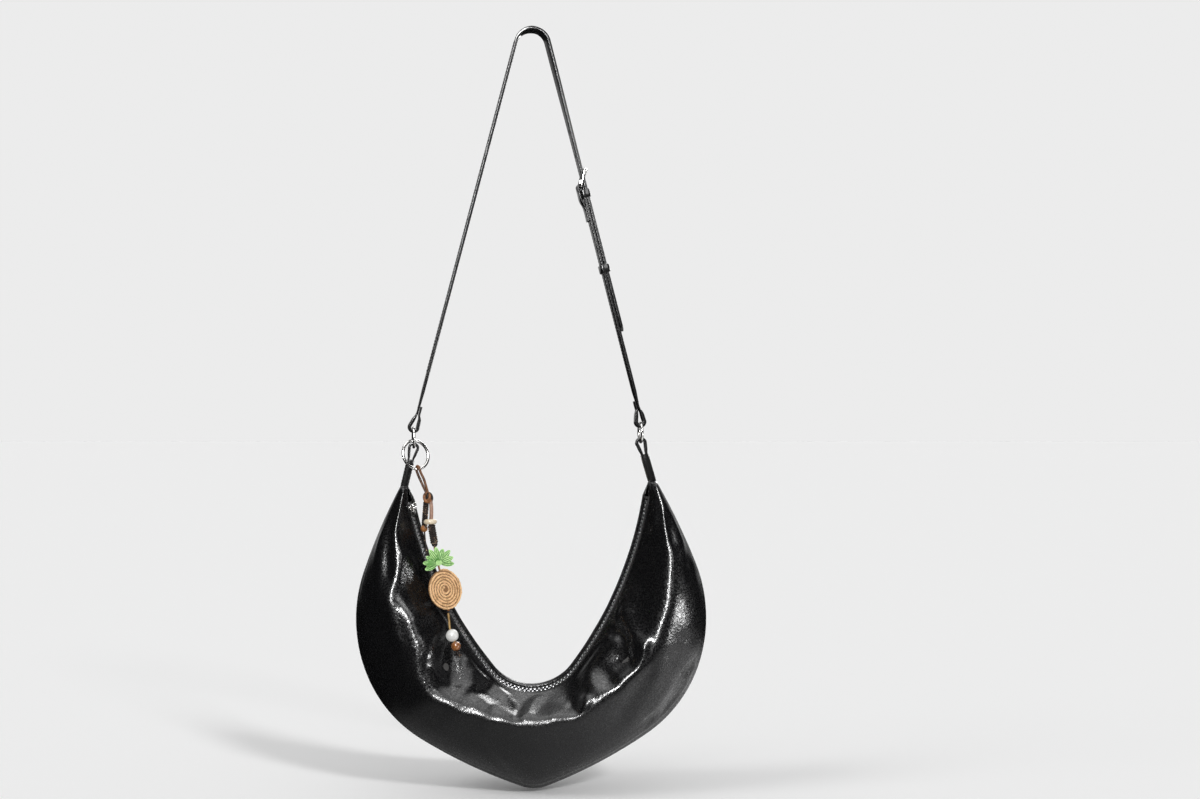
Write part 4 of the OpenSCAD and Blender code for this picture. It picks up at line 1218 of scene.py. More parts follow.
    def short_strap(self) -> None:
        """Makes the short strap from the right ring up round the buckle's heel bar."""
        inner, heel, reach = self.fold - self.thick, self.short, self.bar / 2 + SKIN + self.ply / 2
        rows = [(p.x, p.y, self.end_width, loop_ply(p.x, p.y - SEAT)) for p in smooth_path(
            [(x, z, 0) for x, z in self.loop_run(inner - self.ply / 2, inner + 1.5)], 3)]
        for k in range(1, 18):
            z = SEAT + self.fold_top + (heel - 8 - SEAT - self.fold_top) * k / 17
            rows.append((inner + 1.5, z, *self.grown(z)))
        top = [(inner + 1.8, heel - 6, 0), (reach, heel - 3.4, 0)]
        top += [(x, heel + z, 0) for x, z in (polar(reach, a) for a in range(0, 181, 20))]
        tail = [(-reach, heel - 6, 0), (-reach, heel - self.tail * 0.38, 0),
                (inner - self.ply / 2, heel - self.tail * 0.6, 0), (inner - self.ply / 2, heel - self.tail, 0)]
        for i, p in enumerate(smooth_path(top + tail, 3)):
            rows.append((p.x, p.y, self.width, self.thick if i < 1 else self.ply + 0.6 if i < 3 else self.ply))
        tools = bmesh.new()
        lug = self.width / 3
        frame = self.legs[Side.RIGHT] @ shift(0, 0, heel - lug * 0.9)
        join_in(tools, sweep([frame, frame @ shift(0, 0, 2 * lug)], lambda _: slab_outline(12, lug, 0.6)))
        bm = carve(self.strip(self.leg_stops(Side.RIGHT, rows)), tools)
        self.piece(bm, "short_strap_leather", "strap", "strap_leather", "short_strap", place=ROW, sharp=38)
        seams = bmesh.new()
        straight = [row for row in rows if row[3] == self.thick and row[2] > 12]
        self.edge_stitches(seams, self.leg_stops(Side.RIGHT, straight))
        self.fold_stitches(seams, Side.RIGHT, inner - self.ply, self.fold)
        self.piece(seams, "short_strap_stitches", "thread", "strap_leather", place=ROW)

    def keepers(self) -> None:
        """Makes the fixed and the sliding keeper."""
        high, wall, drop = self.keeper
        inner = self.fold - self.thick
        for name, node, finish, z, gap, body in (
                ("fixed_keeper_leather", "fixed_keeper", "edge", -self.fold - high / 2 - FIT, SKIN, Body.STRAP),
                ("sliding_keeper_leather", "sliding_keeper", "strap", -drop, FIT, Body.LOOSE_KEEPER)):
            deep = self.stack + self.thick / 2 - inner + 2 * gap + wall
            wide = self.width + 2 * gap + wall
            centre = (inner + self.stack + self.thick / 2) / 2
            path = [Vector((centre + x, y, z)) for x, y in slab_outline(deep, wide, 1.6, 6)]
            frames = [axes(UPWARD, along.cross(UPWARD), along, point)
                      for point, along in ((p, heading(path, i, closed=True)) for i, p in enumerate(path))]
            bm = sweep(frames, lambda _: slab_outline(high, wall, 0.5), closed=True)
            self.piece(bm, name, finish, "strap_leather", node, body, self.heel)

    def buckle_frame(self) -> None:
        """Makes the buckle's rectangular wire frame."""
        rail = self.width / 2 + 2 * FIT + self.bar / 2
        path = [Vector((0, y, self.buckle / 2 + z)) for z, y in slab_outline(self.buckle, 2 * rail, 2.4, 7)]
        bm = sweep(path_frames(path, ACROSS, closed=True), lambda _: round_outline(self.bar / 2, 20), closed=True)
        self.piece(bm, "buckle_wire", "metal", "nickel", "buckle_frame", place=self.heel @ turn(self.lean, "Y"))

    def buckle_prong(self) -> None:
        """Makes the prong with its eye round the heel bar."""
        long, r = self.buckle + self.bar / 2, self.prong / 2
        path = smooth_path([(0, 0, 1.9), (0, 0, 6), (0.1, 0, 12), (0.15, 0, long - 3), (0, 0, long),
                            (0, 0, long + 0.9)], 5)
        sizes = [r] * (len(path) - 4) + [r * 0.97, r * 0.86, r * 0.6, r * 0.15]
        bm = sweep(path_frames(path, INWARD), lambda s: round_outline(sizes[round(s * (len(path) - 1))], 16))
        eye = lathe([(1.57, -1.85), (2.35, -1.85), (2.55, -1.6), (2.55, 1.6), (2.35, 1.85), (1.57, 1.85)], 32, True)
        join_in(bm, moved(eye, turn(90, "X")))
        self.piece(bm, "buckle_pin", "metal", "nickel", "buckle_prong", Body.PRONG,
                   self.heel @ turn(self.prong_lean, "Y"), 40)


# Rings and tabs


@dataclass
class Links(Part):
    """The two link rings and the leather tabs that join the bag to them."""

    wire: float = 2.8
    ring_twist: float = 9.0
    tab_twist: float = 5.0
    ply: float = PLY
    loop_reach: float = 4.25
    half: float = 3.78
    end_width: float = PLY_WIDTH

    def build(self) -> None:
        """Makes both rings and both tabs."""
        for side, name, body in ((Side.LEFT, "left", Body.RING_LEFT), (Side.RIGHT, "right", Body.RING_RIGHT)):
            place = BAG @ shift(side * RING_SPAN / 2, 0, 0) @ turn(self.ring_twist, "Z") @ turn(90, "Y")
            self.piece(torus(RING_C, self.wire / 2, 96, 24), f"{name}_link_ring", "metal", "nickel",
                       f"{name}_ring", body, place)
            self.tab(side, name)

    def tab(self, side: Side, name: str) -> None:
        """Makes one tab: a ply folded round the ring, a filler between its two halves, and its stitches."""
        drop = TAB_LENGTH - RING_C
        tilt, run = degrees(atan2(TAB_IN, drop)), hypot(TAB_IN, drop)
        place = (BAG @ shift(side * RING_SPAN / 2, 0, -RING_C) @ turn(-side * tilt, "Y") @ turn(self.tab_twist, "Z")
                 @ Matrix.Diagonal((side, 1, 1, 1)))
        out = self.half - self.ply / 2
        slope = tan(radians(tilt))
        left = [(-out, 0.3 - run + out * slope), (-out, -run * 0.7), (-out, -run * 0.45), (-out * 0.8, -14.5),
                (-out * 0.82, -11), (-out * 1.04, -8)]
        right = [(-x, z) for x, z in reversed(left[1:])] + [(out, 0.3 - run - out * slope)]
        bend = [(x, z - SEAT) for x, z in (polar(self.loop_reach, a) for a in range(205, -26, -15))]
        path = smooth_path([(x, 0, z) for x, z in left + bend + right], 3)
        plies = [loop_ply(p.x, p.z + SEAT, 0.9) for p in path]
        bm = sweep(path_frames(path, INWARD),
                   lambda s: slab_outline(plies[round(s * (len(plies) - 1))], self.end_width, 0.6))
        self.piece(bm, f"{name}_tab_leather", "strap", "strap_leather", f"{name}_tab", place=place, sharp=50)
        filler = [shift(0, 0, z) for z in (-12.6, -16, -run * 0.6, -run * 0.85, 0.6 - run)]
        inside = 2 * out - self.ply + 0.1
        sizes = [(1.6, 8.2), (inside, 8.5), (inside, 8.6), (inside, 8.6), (inside, 8.4)]
        core = sweep(filler, lambda s: slab_outline(*sizes[round(s * 4)], 0.4))
        join_in(core, sweep([shift(0, 0, 2 - run), shift(0, 0, -run - 8)], lambda _: slab_outline(3.6, 6, 0.4)))
        self.piece(core, f"{name}_tab_filler", "edge", "strap_leather", place=place, sharp=50)
        seams = bmesh.new()
        for face in (-1, 1):
            points = [Vector((face * (self.half + 0.02), y, z)) for y, z in
                      ((-3, 3 - run), (-3, -14), (3, -14), (3, 3 - run))]
            for a, b in zip(points, points[1:]):
                count = max(2, round((b - a).length / 4))
                sew(seams, [a.lerp(b, k / count) for k in range(count + 1)], [Vector((face, 0, 0))] * (count + 1),
                    TAB_STITCH)
        self.piece(seams, f"{name}_tab_stitches", "pale_thread", "strap_leather", place=place)


def loop_ply(x: float, z: float, extra: float = 1.6) -> float:
    """The thickness of a folded ply at a place beside its ring, where the leather bunches up."""
    return PLY + extra * eased((BUNCH_END - hypot(x, z)) / BUNCH_FADE)


# Zip


@dataclass
class Zip(Part):
    """The zip: two tapes, two rows of teeth, the stops, the slider and its ring pull."""

    form: Crescent
    slit: float = 1.2
    tooth: Pair = (2.4, 2.4)
    pitch: float = 4.0
    tape: Triple = (3.1, 4.48, 0.6)
    tape_mid: float = 2.0
    end_gap: float = 15.44
    stop_gap: float = 16.64
    slider: Pair = (11.0, 1.1)
    slider_walls: Pair = (3.3, 4.4)
    pull: Pair = (8.0, 1.3)
    pull_lift: float = 20.0
    lip_row: float = 0.045

    def frame(self, run: float) -> Matrix:
        """A frame on the zip's line: X runs along it, Y from front to back and Z out of the bag, with its lean."""
        x, z = self.form.zip_point(abs(run))
        side = -1 if run < 0 else 1
        return (shift(side * x, 0, z) @ turn(-side * self.form.zip_angle(abs(run)), "Y")
                @ turn(self.form.zip_lean, "X"))

    def build(self) -> None:
        """Makes every piece of the zip."""
        self.tapes()
        self.teeth()
        self.stops()
        self.slider_body()
        self.ring_pull()
        self.lip_stitches()

    def tapes(self) -> None:
        """Makes the two woven tapes."""
        start, wide, thick = self.tape
        last = self.form.zip_half - self.end_gap
        for side, name in ((-1, "front_zip_tape"), (1, "back_zip_tape")):
            frames = []
            for k in range(161):
                at = self.frame(-last + 2 * last * k / 160) @ shift(0, side * (start + wide / 2), -self.tape_mid)
                frames.append(at @ turn(90, "Y") @ turn(90, "Z"))
            bm = sweep(frames, lambda _: slab_outline(wide, thick, 0.2, 2))
            self.piece(bm, f"{name}_cloth", "tape", "zip_cloth", name, sharp=45)

    def teeth(self) -> None:
        """Makes the two rows of bevelled teeth, each with the nub that hooks into the other row."""
        long, (wide, high) = self.pitch * 0.6, self.tooth
        parts = (((self.slit + wide) / 2, (long, wide, high)), (self.slit / 2 + 0.1, (long * 0.62, 0.6, high * 0.6)))
        count = int((self.form.zip_half - self.stop_gap - self.pitch) // self.pitch)
        for side, offset, name in ((-1, 0.0, "front_teeth"), (1, 0.5, "back_teeth")):
            bm = bmesh.new()
            for k in range(-count, count + 1):
                for y, size in parts:
                    add_box(bm, self.frame((k + offset) * self.pitch) @ shift(0, side * y, -self.tape_mid), size)
            bevel(bm, 0.32)
            self.piece(bm, f"{name}_metal", "teeth", "zip_metal", name)

    def stops(self) -> None:
        """Makes the stop at each end of the teeth."""
        bm = bmesh.new()
        for side in (-1, 1):
            at = self.frame(side * (self.form.zip_half - self.stop_gap)) @ shift(0, 0, -self.tape_mid)
            add_box(bm, at, (2.4, 6.0, 2.5))
        bevel(bm, 0.5, 3)
        self.piece(bm, "zip_end_stops", "teeth", "zip_metal", "zip_stops")

    def slider_frame(self) -> Matrix:
        """The slider's frame on the left limb, with Z out of the bag and X towards the body's base."""
        top = self.form.zip_half - self.stop_gap - 1.5
        return self.frame(-(top - self.slider[0] / 2))

    def slider_body(self) -> None:
        """Makes the slider: two plates, their side walls, the wedge between the rows and the bail."""
        long, thick = self.slider
        at = self.slider_frame()
        bm = bmesh.new()
        inner, outer = self.slider_walls
        plan = [(-long / 2, 2.4), (-long / 2 + 1.2, outer), (1.0, outer), (long / 2 - 1, 3.9), (long / 2, 3.2)]
        plan = [(x, -y) for x, y in plan] + [(x, y) for x, y in reversed(plan)]
        for z in (-0.5 + thick / 2 + 0.55, -3.5 - thick / 2):
            rim = [bm.verts.new((x, y, z - thick / 2)) for x, y in plan]
            face = bmesh.ops.contextual_create(bm, geom=rim)["faces"]
            raised = bmesh.ops.extrude_face_region(bm, geom=face)["geom"]
            bmesh.ops.translate(bm, vec=(0, 0, thick), verts=[g for g in raised if isinstance(g, bmesh.types.BMVert)])
        for y in (-1, 1):
            for z0, z1 in ((-1.4, 0.1), (-4.1, -2.6)):
                add_box(bm, shift(-0.6, y * (outer + inner) / 2, (z0 + z1) / 2), (long - 3.4, outer - inner, z1 - z0))
        add_box(bm, shift(-long / 2 + 1.5, 0, -2), (2.4, 0.6, 4.6))
        bevel(bm, 0.25)
        bail = smooth_path([(-2.1, 0, 0.2), (-1.9, 0, 1.6), (-1.0, 0, 2.55), (0, 0, 2.8), (1.0, 0, 2.55),
                            (1.9, 0, 1.6), (2.1, 0, 0.2)], 4)
        join_in(bm, sweep(path_frames(bail, INWARD), lambda _: slab_outline(0.7, 2.4, 0.28)))
        bmesh.ops.recalc_face_normals(bm, faces=bm.faces)
        self.piece(bm, "slider_metal", "metal", "nickel", "zip_slider", Body.SLIDER, BAG @ at, 50)

    def ring_pull(self) -> None:
        """Makes the ring pull, which stands up from the slider's bail."""
        across, wire = self.pull
        reach = (across - wire) / 2
        place = BAG @ self.slider_frame() @ shift(0, 0, 1.85) @ turn(-90 + self.pull_lift, "Y") @ shift(0, 0, reach)
        bm = moved(torus(reach, wire / 2, 56, 18), turn(90, "Y"))
        self.piece(bm, "pull_ring", "metal", "nickel", "zip_pull", Body.PULL, place)

    def lip_stitches(self) -> None:
        """Sews the lips down beside the zip."""
        for front, name in ((True, "front_lip_stitches"), (False, "back_lip_stitches")):
            bm = bmesh.new()
            points, lifts = [], []
            for k in range(-150, 151):
                q = 0.955 * k / 150
                a = self.form.point(q, self.lip_row, front)
                ahead = self.form.point(q + 0.002, self.lip_row, front)
                under = self.form.point(q, self.lip_row + 0.01, front)
                out = (ahead - a).cross(under - a).normalized()
                out = out if out.y * (-1 if front else 1) > 0 or abs(out.y) < 0.1 else -out
                points.append(a + out * 0.05)
                lifts.append(out)
            sew(bm, points, lifts, LIP_STITCH)
            self.piece(bm, name, "thread", "zip_cloth")


# Charm


@dataclass
class Charm(Part):
    """The spring ring with the pineapple charm on its cords."""

    home: ClassVar[Body] = Body.CHARM
    ring: float = 32.0
    wire: float = 3.0
    ring_turn: float = 38.0
    ring_tilt: float = 14.0
    cord: float = 2.0
    disc: Pair = (35.4, 42.6)
    band: float = 4.0
    windings: int = 6
    leaf: Pair = (16.6, 7.6)
    leaf_hub: float = 27.0
    white: float = 12.4
    brown: float = 9.4
    pale: float = 13.0
    leaf_turns: tuple[float, ...] = (-104, -79, -53, -26, 0, 27, 54, 80, 105)
    leaf_root: float = 0.8
    leaf_thick: float = 0.8
    leaf_stagger: float = 1.3
    leaf_droop: float = 0.9
    rib_pitch: float = 1.15
    rib_height: float = 0.24
    plait_repeat: float = 5.2
    plait_swing: float = 0.46
    raffia_radius: float = 0.52

    def __post_init__(self) -> None:
        """Works out the frames of the spring ring and of the pineapple."""
        self.c = (self.ring - self.wire) / 2
        tilt = atan2(TAB_IN, TAB_LENGTH - RING_C)
        hang = (-RING_SPAN / 2 - SEAT * sin(tilt), 0, -RING_C - SEAT * cos(tilt) + 5.7 + self.wire / 2 + FIT)
        self.spring = shift(*hang) @ turn(self.ring_turn, "Z") @ turn(-self.ring_tilt, "X") @ shift(0, 0, -self.c)
        self.seat = self.ring * Vector((0.18, -0.07, -1.4))
        self.knot = self.spring @ self.seat
        self.pine = (Matrix.Translation(self.at(0.5, -0.64, -2.81)) @ turn(20, "Z") @ turn(-9, "Y")
                     @ turn(-10, "X"))

    def at(self, x: float, y: float, z: float) -> Vector:
        """A place as shares of the spring ring's diameter from the knot, in the bag's frame."""
        return self.knot + self.ring * Vector((x, y, z))

    def build(self) -> None:
        """Makes the ring, the cords, the pineapple and the tail."""
        self.spring_ring()
        self.loop()
        self.knots()
        self.bead_and_braids()
        self.leaves()
        self.raffia()
        self.spine()
        self.tail()

    def arc(self, start: float, finish: float, radius: float, steps: int) -> BMesh:
        """A round wire along an arc of the spring ring, between two angles in degrees."""
        return rod([Vector((x, 0, z)) for x, z in (polar(self.c, start + (finish - start) * k / steps)
                                                   for k in range(steps + 1))], radius, 24)

    def spring_ring(self) -> None:
        """Makes the spring ring and its gate, with a fine joint at each end of the gate."""
        ring = self.arc(217, 508.6, self.wire / 2, 110)
        for angle in (219.5, 506):
            join_in(ring, self.arc(angle - 1.4, angle + 1.4, self.wire / 2 + 0.16, 4))
        self.piece(ring, "spring_ring_wire", "metal", "nickel", "charm_ring", Body.SPRING_RING, BAG @ self.spring, 40)
        gate = self.arc(150.2, 214.6, self.wire / 2 - 0.12, 36)
        pin = lathe([(0, -1.75), (0.62, -1.75), (0.75, -1.6), (0.75, 1.6), (0.62, 1.75), (0, 1.75)], 20)
        x, z = polar(self.c, 213)
        join_in(gate, moved(pin, shift(x, 0, z) @ turn(90, "X")))
        self.piece(gate, "spring_gate_wire", "metal", "nickel", "charm_gate", Body.GATE, BAG @ self.spring, 40)

    def loop(self) -> None:
        """Makes the cord that goes over the spring ring's foot and down to the knot."""
        wrap, lift = (self.wire + self.cord) / 2 + FIT, 4.24
        low, high, front_high, front_low = (self.ring * Vector(place) for place in (
            (0.08, 0.06, -0.84), (0.02, 0.08, -0.6), (0.02, -0.1, -0.6), (0.09, -0.12, -0.84)))
        over = [Vector((0, wrap * y, wrap * z - self.c))
                for y, z in ((1, 0), (0.7, 0.7), (0, 1), (-0.7, 0.7), (-1, 0))]
        route = [self.seat + Vector((-0.6, 1.3, lift - 2)), self.seat + Vector((-0.6, 1.3, lift)), low, high, *over,
                 front_high, front_low, self.seat + Vector((-0.6, -1.3, lift)),
                 self.seat + Vector((-0.6, -1.3, lift - 2))]
        bm = rod(smooth_path(route, 7), self.cord * 0.63, 12, ACROSS)
        self.piece(bm, "loop_cord", "loop", "brown_cord", "charm_loop", place=BAG @ self.spring)

    def knots(self) -> None:
        """Makes the knot under the loop from crossing turns of cord."""
        stretch = Matrix.Diagonal((1.05, 1, 1.4, 1))
        dark = tangle(((70, 15, 20, 3.1), (20, 60, 80, 3.0), (95, -30, 120, 2.9), (35, 100, 10, 2.8)), 1.3, 40, 14,
                      shift(0.25, 0, 0) @ stretch)
        light = tangle(((58, -42, 35, 3.1), (40, -60, 20, 2.7)), 1.3, 40, 14, shift(-0.9, -1.9, 0.4) @ stretch)
        place = BAG @ Matrix.Translation(self.knot)
        self.piece(dark, "knot_dark", "braid", "brown_cord", "charm_knot", place=place)
        self.piece(light, "knot_tan", "lace", "brown_cord", place=place)

    def braid(self, start: Vector, finish: Vector, reach: float, strand: float, pitch: float) -> BMesh:
        """A three-strand braid between two places, of a half width, a strand radius and a repeat length."""
        whole = bmesh.new()
        along = finish - start
        steps = max(12, int(along.length / pitch * 14))
        for k in range(3):
            path = []
            for i in range(steps + 1):
                z = along.length * i / steps
                a = 2 * pi * (z / pitch + k / 3)
                pinch = min(1.0, 0.55 + min(z, along.length - z) / 3)
                path.append(Vector((reach * 0.45 * sin(2 * a) * pinch, reach * cos(a) * pinch, z)))
            join_in(whole, rod(path, strand, 9, ACROSS))
        return moved(whole, aimed(start, finish))

    def bead_and_braids(self) -> None:
        """Makes the pale bead on its strand, the two dark braids and the thin side strand."""
        top, bead = self.at(0.04, -0.02, -0.1), self.at(0.05, -0.12, -0.74)
        path = smooth_path([top + Vector((0.6, 0, 1.2)), top.lerp(bead, 0.3) + Vector((1.4, 0, 0)),
                            top.lerp(bead, 0.7) + Vector((1.2, 0, 0)), bead + Vector((0.5, 0, 0))], 6)
        self.piece(rod(path, self.cord * 0.95, 12, ACROSS), "upper_strand_lace", "pale_lace", "tan_cord",
                   "upper_strand")
        r = self.pale / 2
        profile = [(1.8, -0.36 * r), (2.1, -0.4 * r)] + [(0.6 * r + x, z) for x, z in (
            polar(0.4 * r, a) for a in range(-90, 91, 15))]
        disc = lathe(profile + [(2.1, 0.4 * r), (1.8, 0.36 * r)], 48, True)
        self.piece(disc, "pale_disc_bead", "wood", "pale_wood", "disc_bead",
                   place=BAG @ aimed(bead, top) @ turn(5, "Y"))
        start, finish = self.at(0.08, -0.15, -0.83), self.at(0.19, -0.35, -1.42)
        bm = self.braid(start, finish, 2.7, 1.3, 7.0)
        join_in(bm, tangle(((80, 20, 0, 1.7), (30, 70, 40, 1.7)), 1.25, 32, 12, Matrix.Translation(finish)))
        self.piece(bm, "dark_braid", "braid", "dark_braid", "charm_braid")
        side_top, side_end, foot = (self.at(*place) for place in (
            (-0.12, 0.02, -0.14), (-0.15, -0.08, -0.95), (-0.02, -0.4, -1.84)))
        bm = self.braid(self.knot.lerp(side_top, 0.6), side_end, 2.2, 1.15, 6.0)
        self.piece(bm, "side_dark_braid", "braid", "dark_braid", "side_braid")
        ball = tangle([(rx, ry, 0, 2.2) for rx, ry in ((90, 20), (25, 50), (60, 110), (10, 80))], 1.35, 32, 12,
                      Matrix.Translation(side_end))
        self.piece(ball, "side_knot", "amber", "brown_cord")
        path = smooth_path([side_end + (foot - side_end) * 0.06, side_end.lerp(foot, 0.5) + Vector((-0.5, -0.3, 0)),
                            foot], 8)
        self.piece(rod(path, self.cord * 0.4, 9, ACROSS), "side_thin_strand", "braid", "dark_braid", "side_strand")

    def leaf_half(self, u: float) -> float:
        """Half the width of a leaf at a share of its length."""
        return self.leaf[1] / 2 * (sin(pi * min(1, max(0, u ** 0.8))) ** 0.62) * (0.4 + 0.6 * u ** 0.6)

    def leaves(self) -> None:
        """Makes the fan of nine straw leaves, each pressed out of ridged straw, with three dark lines along each
        leaf's front that are painted shade of the grooves between the strands.
        """
        long, wide = self.leaf
        bm, shade_lines = bmesh.new(), bmesh.new()
        hub = Matrix.Translation((0, 0, self.leaf_hub))
        for index, angle in enumerate(self.leaf_turns):
            fanned, behind = hub @ turn(angle, "Y"), self.leaf_stagger * (index % 2)
            made = bmesh.ops.create_uvsphere(bm, u_segments=40, v_segments=18, radius=1.0)["verts"]
            reach = long * (0.95 + 0.08 * sin(index * 2.3)) - self.leaf_root
            for vert in made:
                u = (vert.co.z + 1) / 2
                around = atan2(vert.co.y, vert.co.x)
                half = self.leaf_half(u)
                x, y = half * cos(around), self.leaf_thick * sin(around) * (half / (wide / 2)) ** 0.6
                rib = self.rib_height * cos(2 * pi * x / self.rib_pitch) * min(1, half / 1.5)
                y += rib * (1 if y > 0 else -1)
                vert.co = Vector((x, y - behind - self.leaf_droop * u * u, self.leaf_root + reach * u))
            bmesh.ops.transform(bm, matrix=fanned, verts=made)
            # Three dark lines along each leaf's front: painted shade of the grooves between the straw's strands
            for way in (-0.62, 0.0, 0.62):
                path = []
                for k in range(11):
                    u = 0.16 + (0.76 - 0.12 * abs(way)) * k / 10
                    half = self.leaf_half(u)
                    out = self.leaf_thick * sqrt(1 - way ** 2) * (half / (wide / 2)) ** 0.6
                    out += behind + self.leaf_droop * u * u
                    path.append(Vector((half * way, -out - 0.04, self.leaf_root + reach * u)))
                join_in(shade_lines, moved(rod(path, 0.4, 6, taper=0.16), fanned))
        self.piece(shade_lines, "green_leaf_shade_lines", "straw_groove_shade", "green_straw", "", Body.PINEAPPLE, BAG @ self.pine)
        core = bmesh.ops.create_uvsphere(bm, u_segments=20, v_segments=12, radius=2.6)["verts"]
        bmesh.ops.transform(bm, matrix=hub @ Matrix.Diagonal((1, 0.42, 1, 1)), verts=core)
        self.piece(bm, "green_straw_leaves", "straw", "green_straw", "straw_leaves", Body.PINEAPPLE, BAG @ self.pine)

    def raffia(self) -> None:
        """Makes the oval disc: a flat plait of raffia wound into a spiral, on a thin backing whose dark colour is
        painted shade in the gaps between the plait's turns.
        """
        wide, high = self.disc
        pitch = (wide / 2 - self.cord) / (self.windings + 0.5)
        whole = bmesh.new()
        steps = 190 * self.windings
        for layer in (-1, 1):
            for k in range(3):
                path = []
                for i in range(steps + 1):
                    turns = self.windings * i / steps
                    r = wide / 2 - pitch * 0.5 - pitch * turns
                    a = 2 * pi * turns
                    run = 2 * pi * (wide / 2 * turns - pitch * turns ** 2 / 2)
                    phase = 2 * pi * (run / self.plait_repeat + k / 3)
                    r += self.plait_swing * cos(phase) + 0.3 * sin(run * 0.37 + k) * sin(run * 0.11 + 2 * k)
                    dome = 0.55 * (1 - (r / (wide / 2)) ** 2)
                    y = layer * (self.band / 2 - 0.75 + dome) + 0.4 * sin(2 * phase)
                    path.append(Vector((r * sin(a), y, r * high / wide * cos(a))))
                join_in(whole, rod(path, self.raffia_radius, 6))
        # The backing's dark colour is painted shade, seen in the gaps between the plait's turns
        backing = lathe([(0, -1.1), (wide / 2 - 2.2, -1.0), (wide / 2 - 1.4, 0), (wide / 2 - 2.2, 1.0), (0, 1.1)], 64)
        moved(backing, turn(90, "X") @ Matrix.Diagonal((1, high / wide, 1, 1)))
        self.piece(backing, "raffia_shade_backing", "raffia_gap_shade", "raffia", "", Body.PINEAPPLE, BAG @ self.pine)
        self.piece(whole, "raffia_spiral", "raffia", "raffia", "raffia_disc", Body.PINEAPPLE, BAG @ self.pine)

    def spine(self) -> None:
        """Makes the cord that runs down the back of the pineapple."""
        out, near, high = self.band / 2 + self.cord + FIT, (self.band + self.cord) / 2 + FIT, self.disc[1]
        path = smooth_path([(0, y, high * z) for y, z in (
            (out, 1.02), (out, 0.83), (out, 0.63), (near, 0.44), (near, 0), (near, -0.49))], 7)
        self.piece(rod(path, self.cord / 2, 10), "spine_lace", "lace", "brown_cord", "spine_cord", Body.PINEAPPLE,
                   BAG @ self.pine)

    def tail(self) -> None:
        """Makes the hanging cord with its two beads and its end knot."""
        white, brown, end = (self.at(*place) for place in (
            (0.705, -0.76, -4.2), (0.82, -0.84, -4.52), (0.88, -0.89, -4.73)))
        step = brown - white
        route = [self.at(0.585, -0.6, -3.53), self.at(0.61, -0.65, -3.75), white - step * 0.6, white,
                 white + step * 0.5, brown, end - (end - brown).normalized() * (self.cord * 1.3 + SKIN)]
        path = smooth_path(route, 8)
        cord = self.piece(rod(path, self.cord / 2, 12), "tail_lace", "gold_lace", "tan_cord", "tail_cord", Body.TAIL)
        for name, node, place, size, finish, slot_name, next_place in (
                ("white_glass_bead", "white_bead", white, self.white, "white", "white_glass", brown),
                ("brown_glass_bead", "brown_bead", brown, self.brown, "brown", "brown_glass", end)):
            r, bore = size / 2, self.cord / 2 + 0.15
            low = degrees(asin(bore / r))
            bead = lathe([polar(r, low - 90 + (180 - 2 * low) * k / 28) for k in range(29)], 56)
            self.piece(bead, name, finish, slot_name, node, Body.TAIL, BAG @ aimed(place, next_place))
        knot = tangle(((80, 20, 0, 1.5), (20, 70, 0, 1.5), (130, -30, 0, 1.4), (60, 100, 0, 1.3)), 1.0, 30, 10, ROW)
        for rx, ry, long in ((20, 20, 5.6), (-15, -22, 5.2), (6, 48, 4.4)):
            loose = smooth_path([(0, 0, 0), (0.2, 0, -long * 0.5), (0.5, 0.2, -long)], 5)
            join_in(knot, moved(rod(loose, 0.7, 8, taper=0.3), turn(rx, "X") @ turn(-ry, "Y")))
        self.piece(knot, "tail_end_knot", "braid", "brown_cord", "end_knot", Body.TAIL,
                                BAG @ Matrix.Translation(end))
        line = [(BAG @ p) * MM for p in path]
        long = sum((b - a).length for a, b in zip(line, line[1:]))


# Order of work


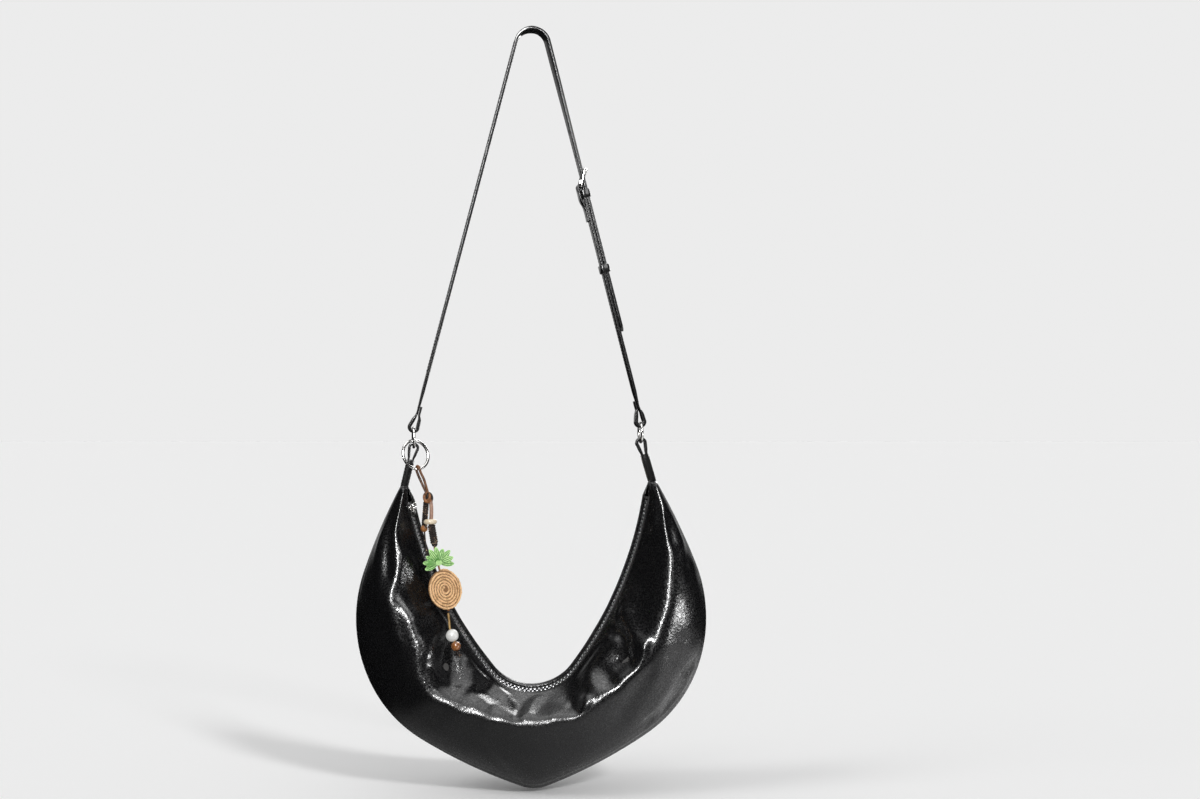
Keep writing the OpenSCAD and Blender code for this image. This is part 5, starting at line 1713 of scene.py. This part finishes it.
def make_finishes() -> dict[str, Material]:
    """Makes every finish, by a short name."""
    kinds = {
        "body": WaxedLeather("body_leather", worn=(-0.71, -0.645)),
        "strap": WaxedLeather("strap_leather", colour=(0.008, 0.008, 0.0085), gloss=0.26, crackle=0.1),
        "edge": WaxedLeather("painted_edge", colour=(0.012, 0.012, 0.012), gloss=0.2, crackle=0.1),
        "lining": Cloth("lining_cloth", colour=(0.045, 0.042, 0.04)),
        "pocket": Cloth("pocket_cloth", colour=(0.06, 0.055, 0.05), threads=1300),
        "tape": Cloth("zip_cloth", colour=(0.02, 0.02, 0.02), threads=3600),
        "metal": Metal("nickel"),
        "teeth": Metal("zip_metal", colour=(0.42, 0.42, 0.43), roughness=0.24),
        "thread": Fibre("black_thread", (0.03, 0.03, 0.03), (0.008, 0.008, 0.008), roughness=0.5, streaks=2400),
        "pale_thread": Fibre("pale_thread", (0.30, 0.27, 0.22), (0.12, 0.11, 0.09), roughness=0.6, streaks=2400),
        "lace": Fibre("brown_lace", (0.42, 0.17, 0.055), (0.035, 0.012, 0.006), roughness=0.45, streaks=260),
        "loop": Fibre("loop_lace", (0.26, 0.11, 0.045), (0.028, 0.011, 0.006), roughness=0.4, streaks=200),
        "amber": Fibre("amber_cord", (0.48, 0.2, 0.06), (0.08, 0.03, 0.012), roughness=0.4, streaks=300),
        "pale_lace": Fibre("pinkish_lace", (0.48, 0.3, 0.22), (0.2, 0.1, 0.07), roughness=0.5, streaks=400),
        "gold_lace": Fibre("gold_lace", (0.55, 0.36, 0.13), (0.16, 0.08, 0.03), roughness=0.5, streaks=700),
        "braid": Fibre("dark_braid", (0.6, 0.4, 0.26), (0.012, 0.005, 0.003), roughness=0.5, streaks=700,
                       split=(0.62, 0.7)),
        "straw": Fibre("green_straw", (0.58, 0.9, 0.38), (0.2, 0.48, 0.12), roughness=0.42, streaks=480,
                       split=(0.4, 0.56)),
        # painted shade for the grooves along the straw leaves
        "straw_groove_shade": Fibre("green_shade", (0.07, 0.27, 0.04), (0.03, 0.13, 0.02), roughness=0.5, streaks=700),
        "raffia": Fibre("raffia", (0.92, 0.62, 0.34), (0.55, 0.31, 0.14), roughness=0.5, streaks=700,
                        split=(0.42, 0.58)),
        # painted shade for the gaps in the raffia disc
        "raffia_gap_shade": Fibre("raffia_shade", (0.42, 0.23, 0.1), (0.2, 0.1, 0.045), roughness=0.7),
        "wood": Glazed("pale_wood", (0.86, 0.76, 0.6), (0.7, 0.55, 0.36), roughness=0.35),
        "white": Glazed("white_glass", (0.86, 0.86, 0.84), (0.72, 0.72, 0.7), roughness=0.22, clouds=160),
        "brown": Glazed("brown_glass", (0.5, 0.19, 0.045), (0.12, 0.035, 0.012), roughness=0.1, clouds=180, coat=0.8),
    }
    return {key: finish.build() for key, finish in kinds.items()}


def main() -> None:
    """Builds the studio and the bag, piece by piece."""
    logging.basicConfig(level=logging.INFO, format="%(message)s")
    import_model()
    Studio().build()
    finishes = make_finishes()
    Charm(finishes).build()
    form = Crescent()
    BagBody(finishes, form).build()
    Zip(finishes, form).build()
    Links(finishes).build()
    Strap(finishes).build()


if __name__ == "__main__":
    main()
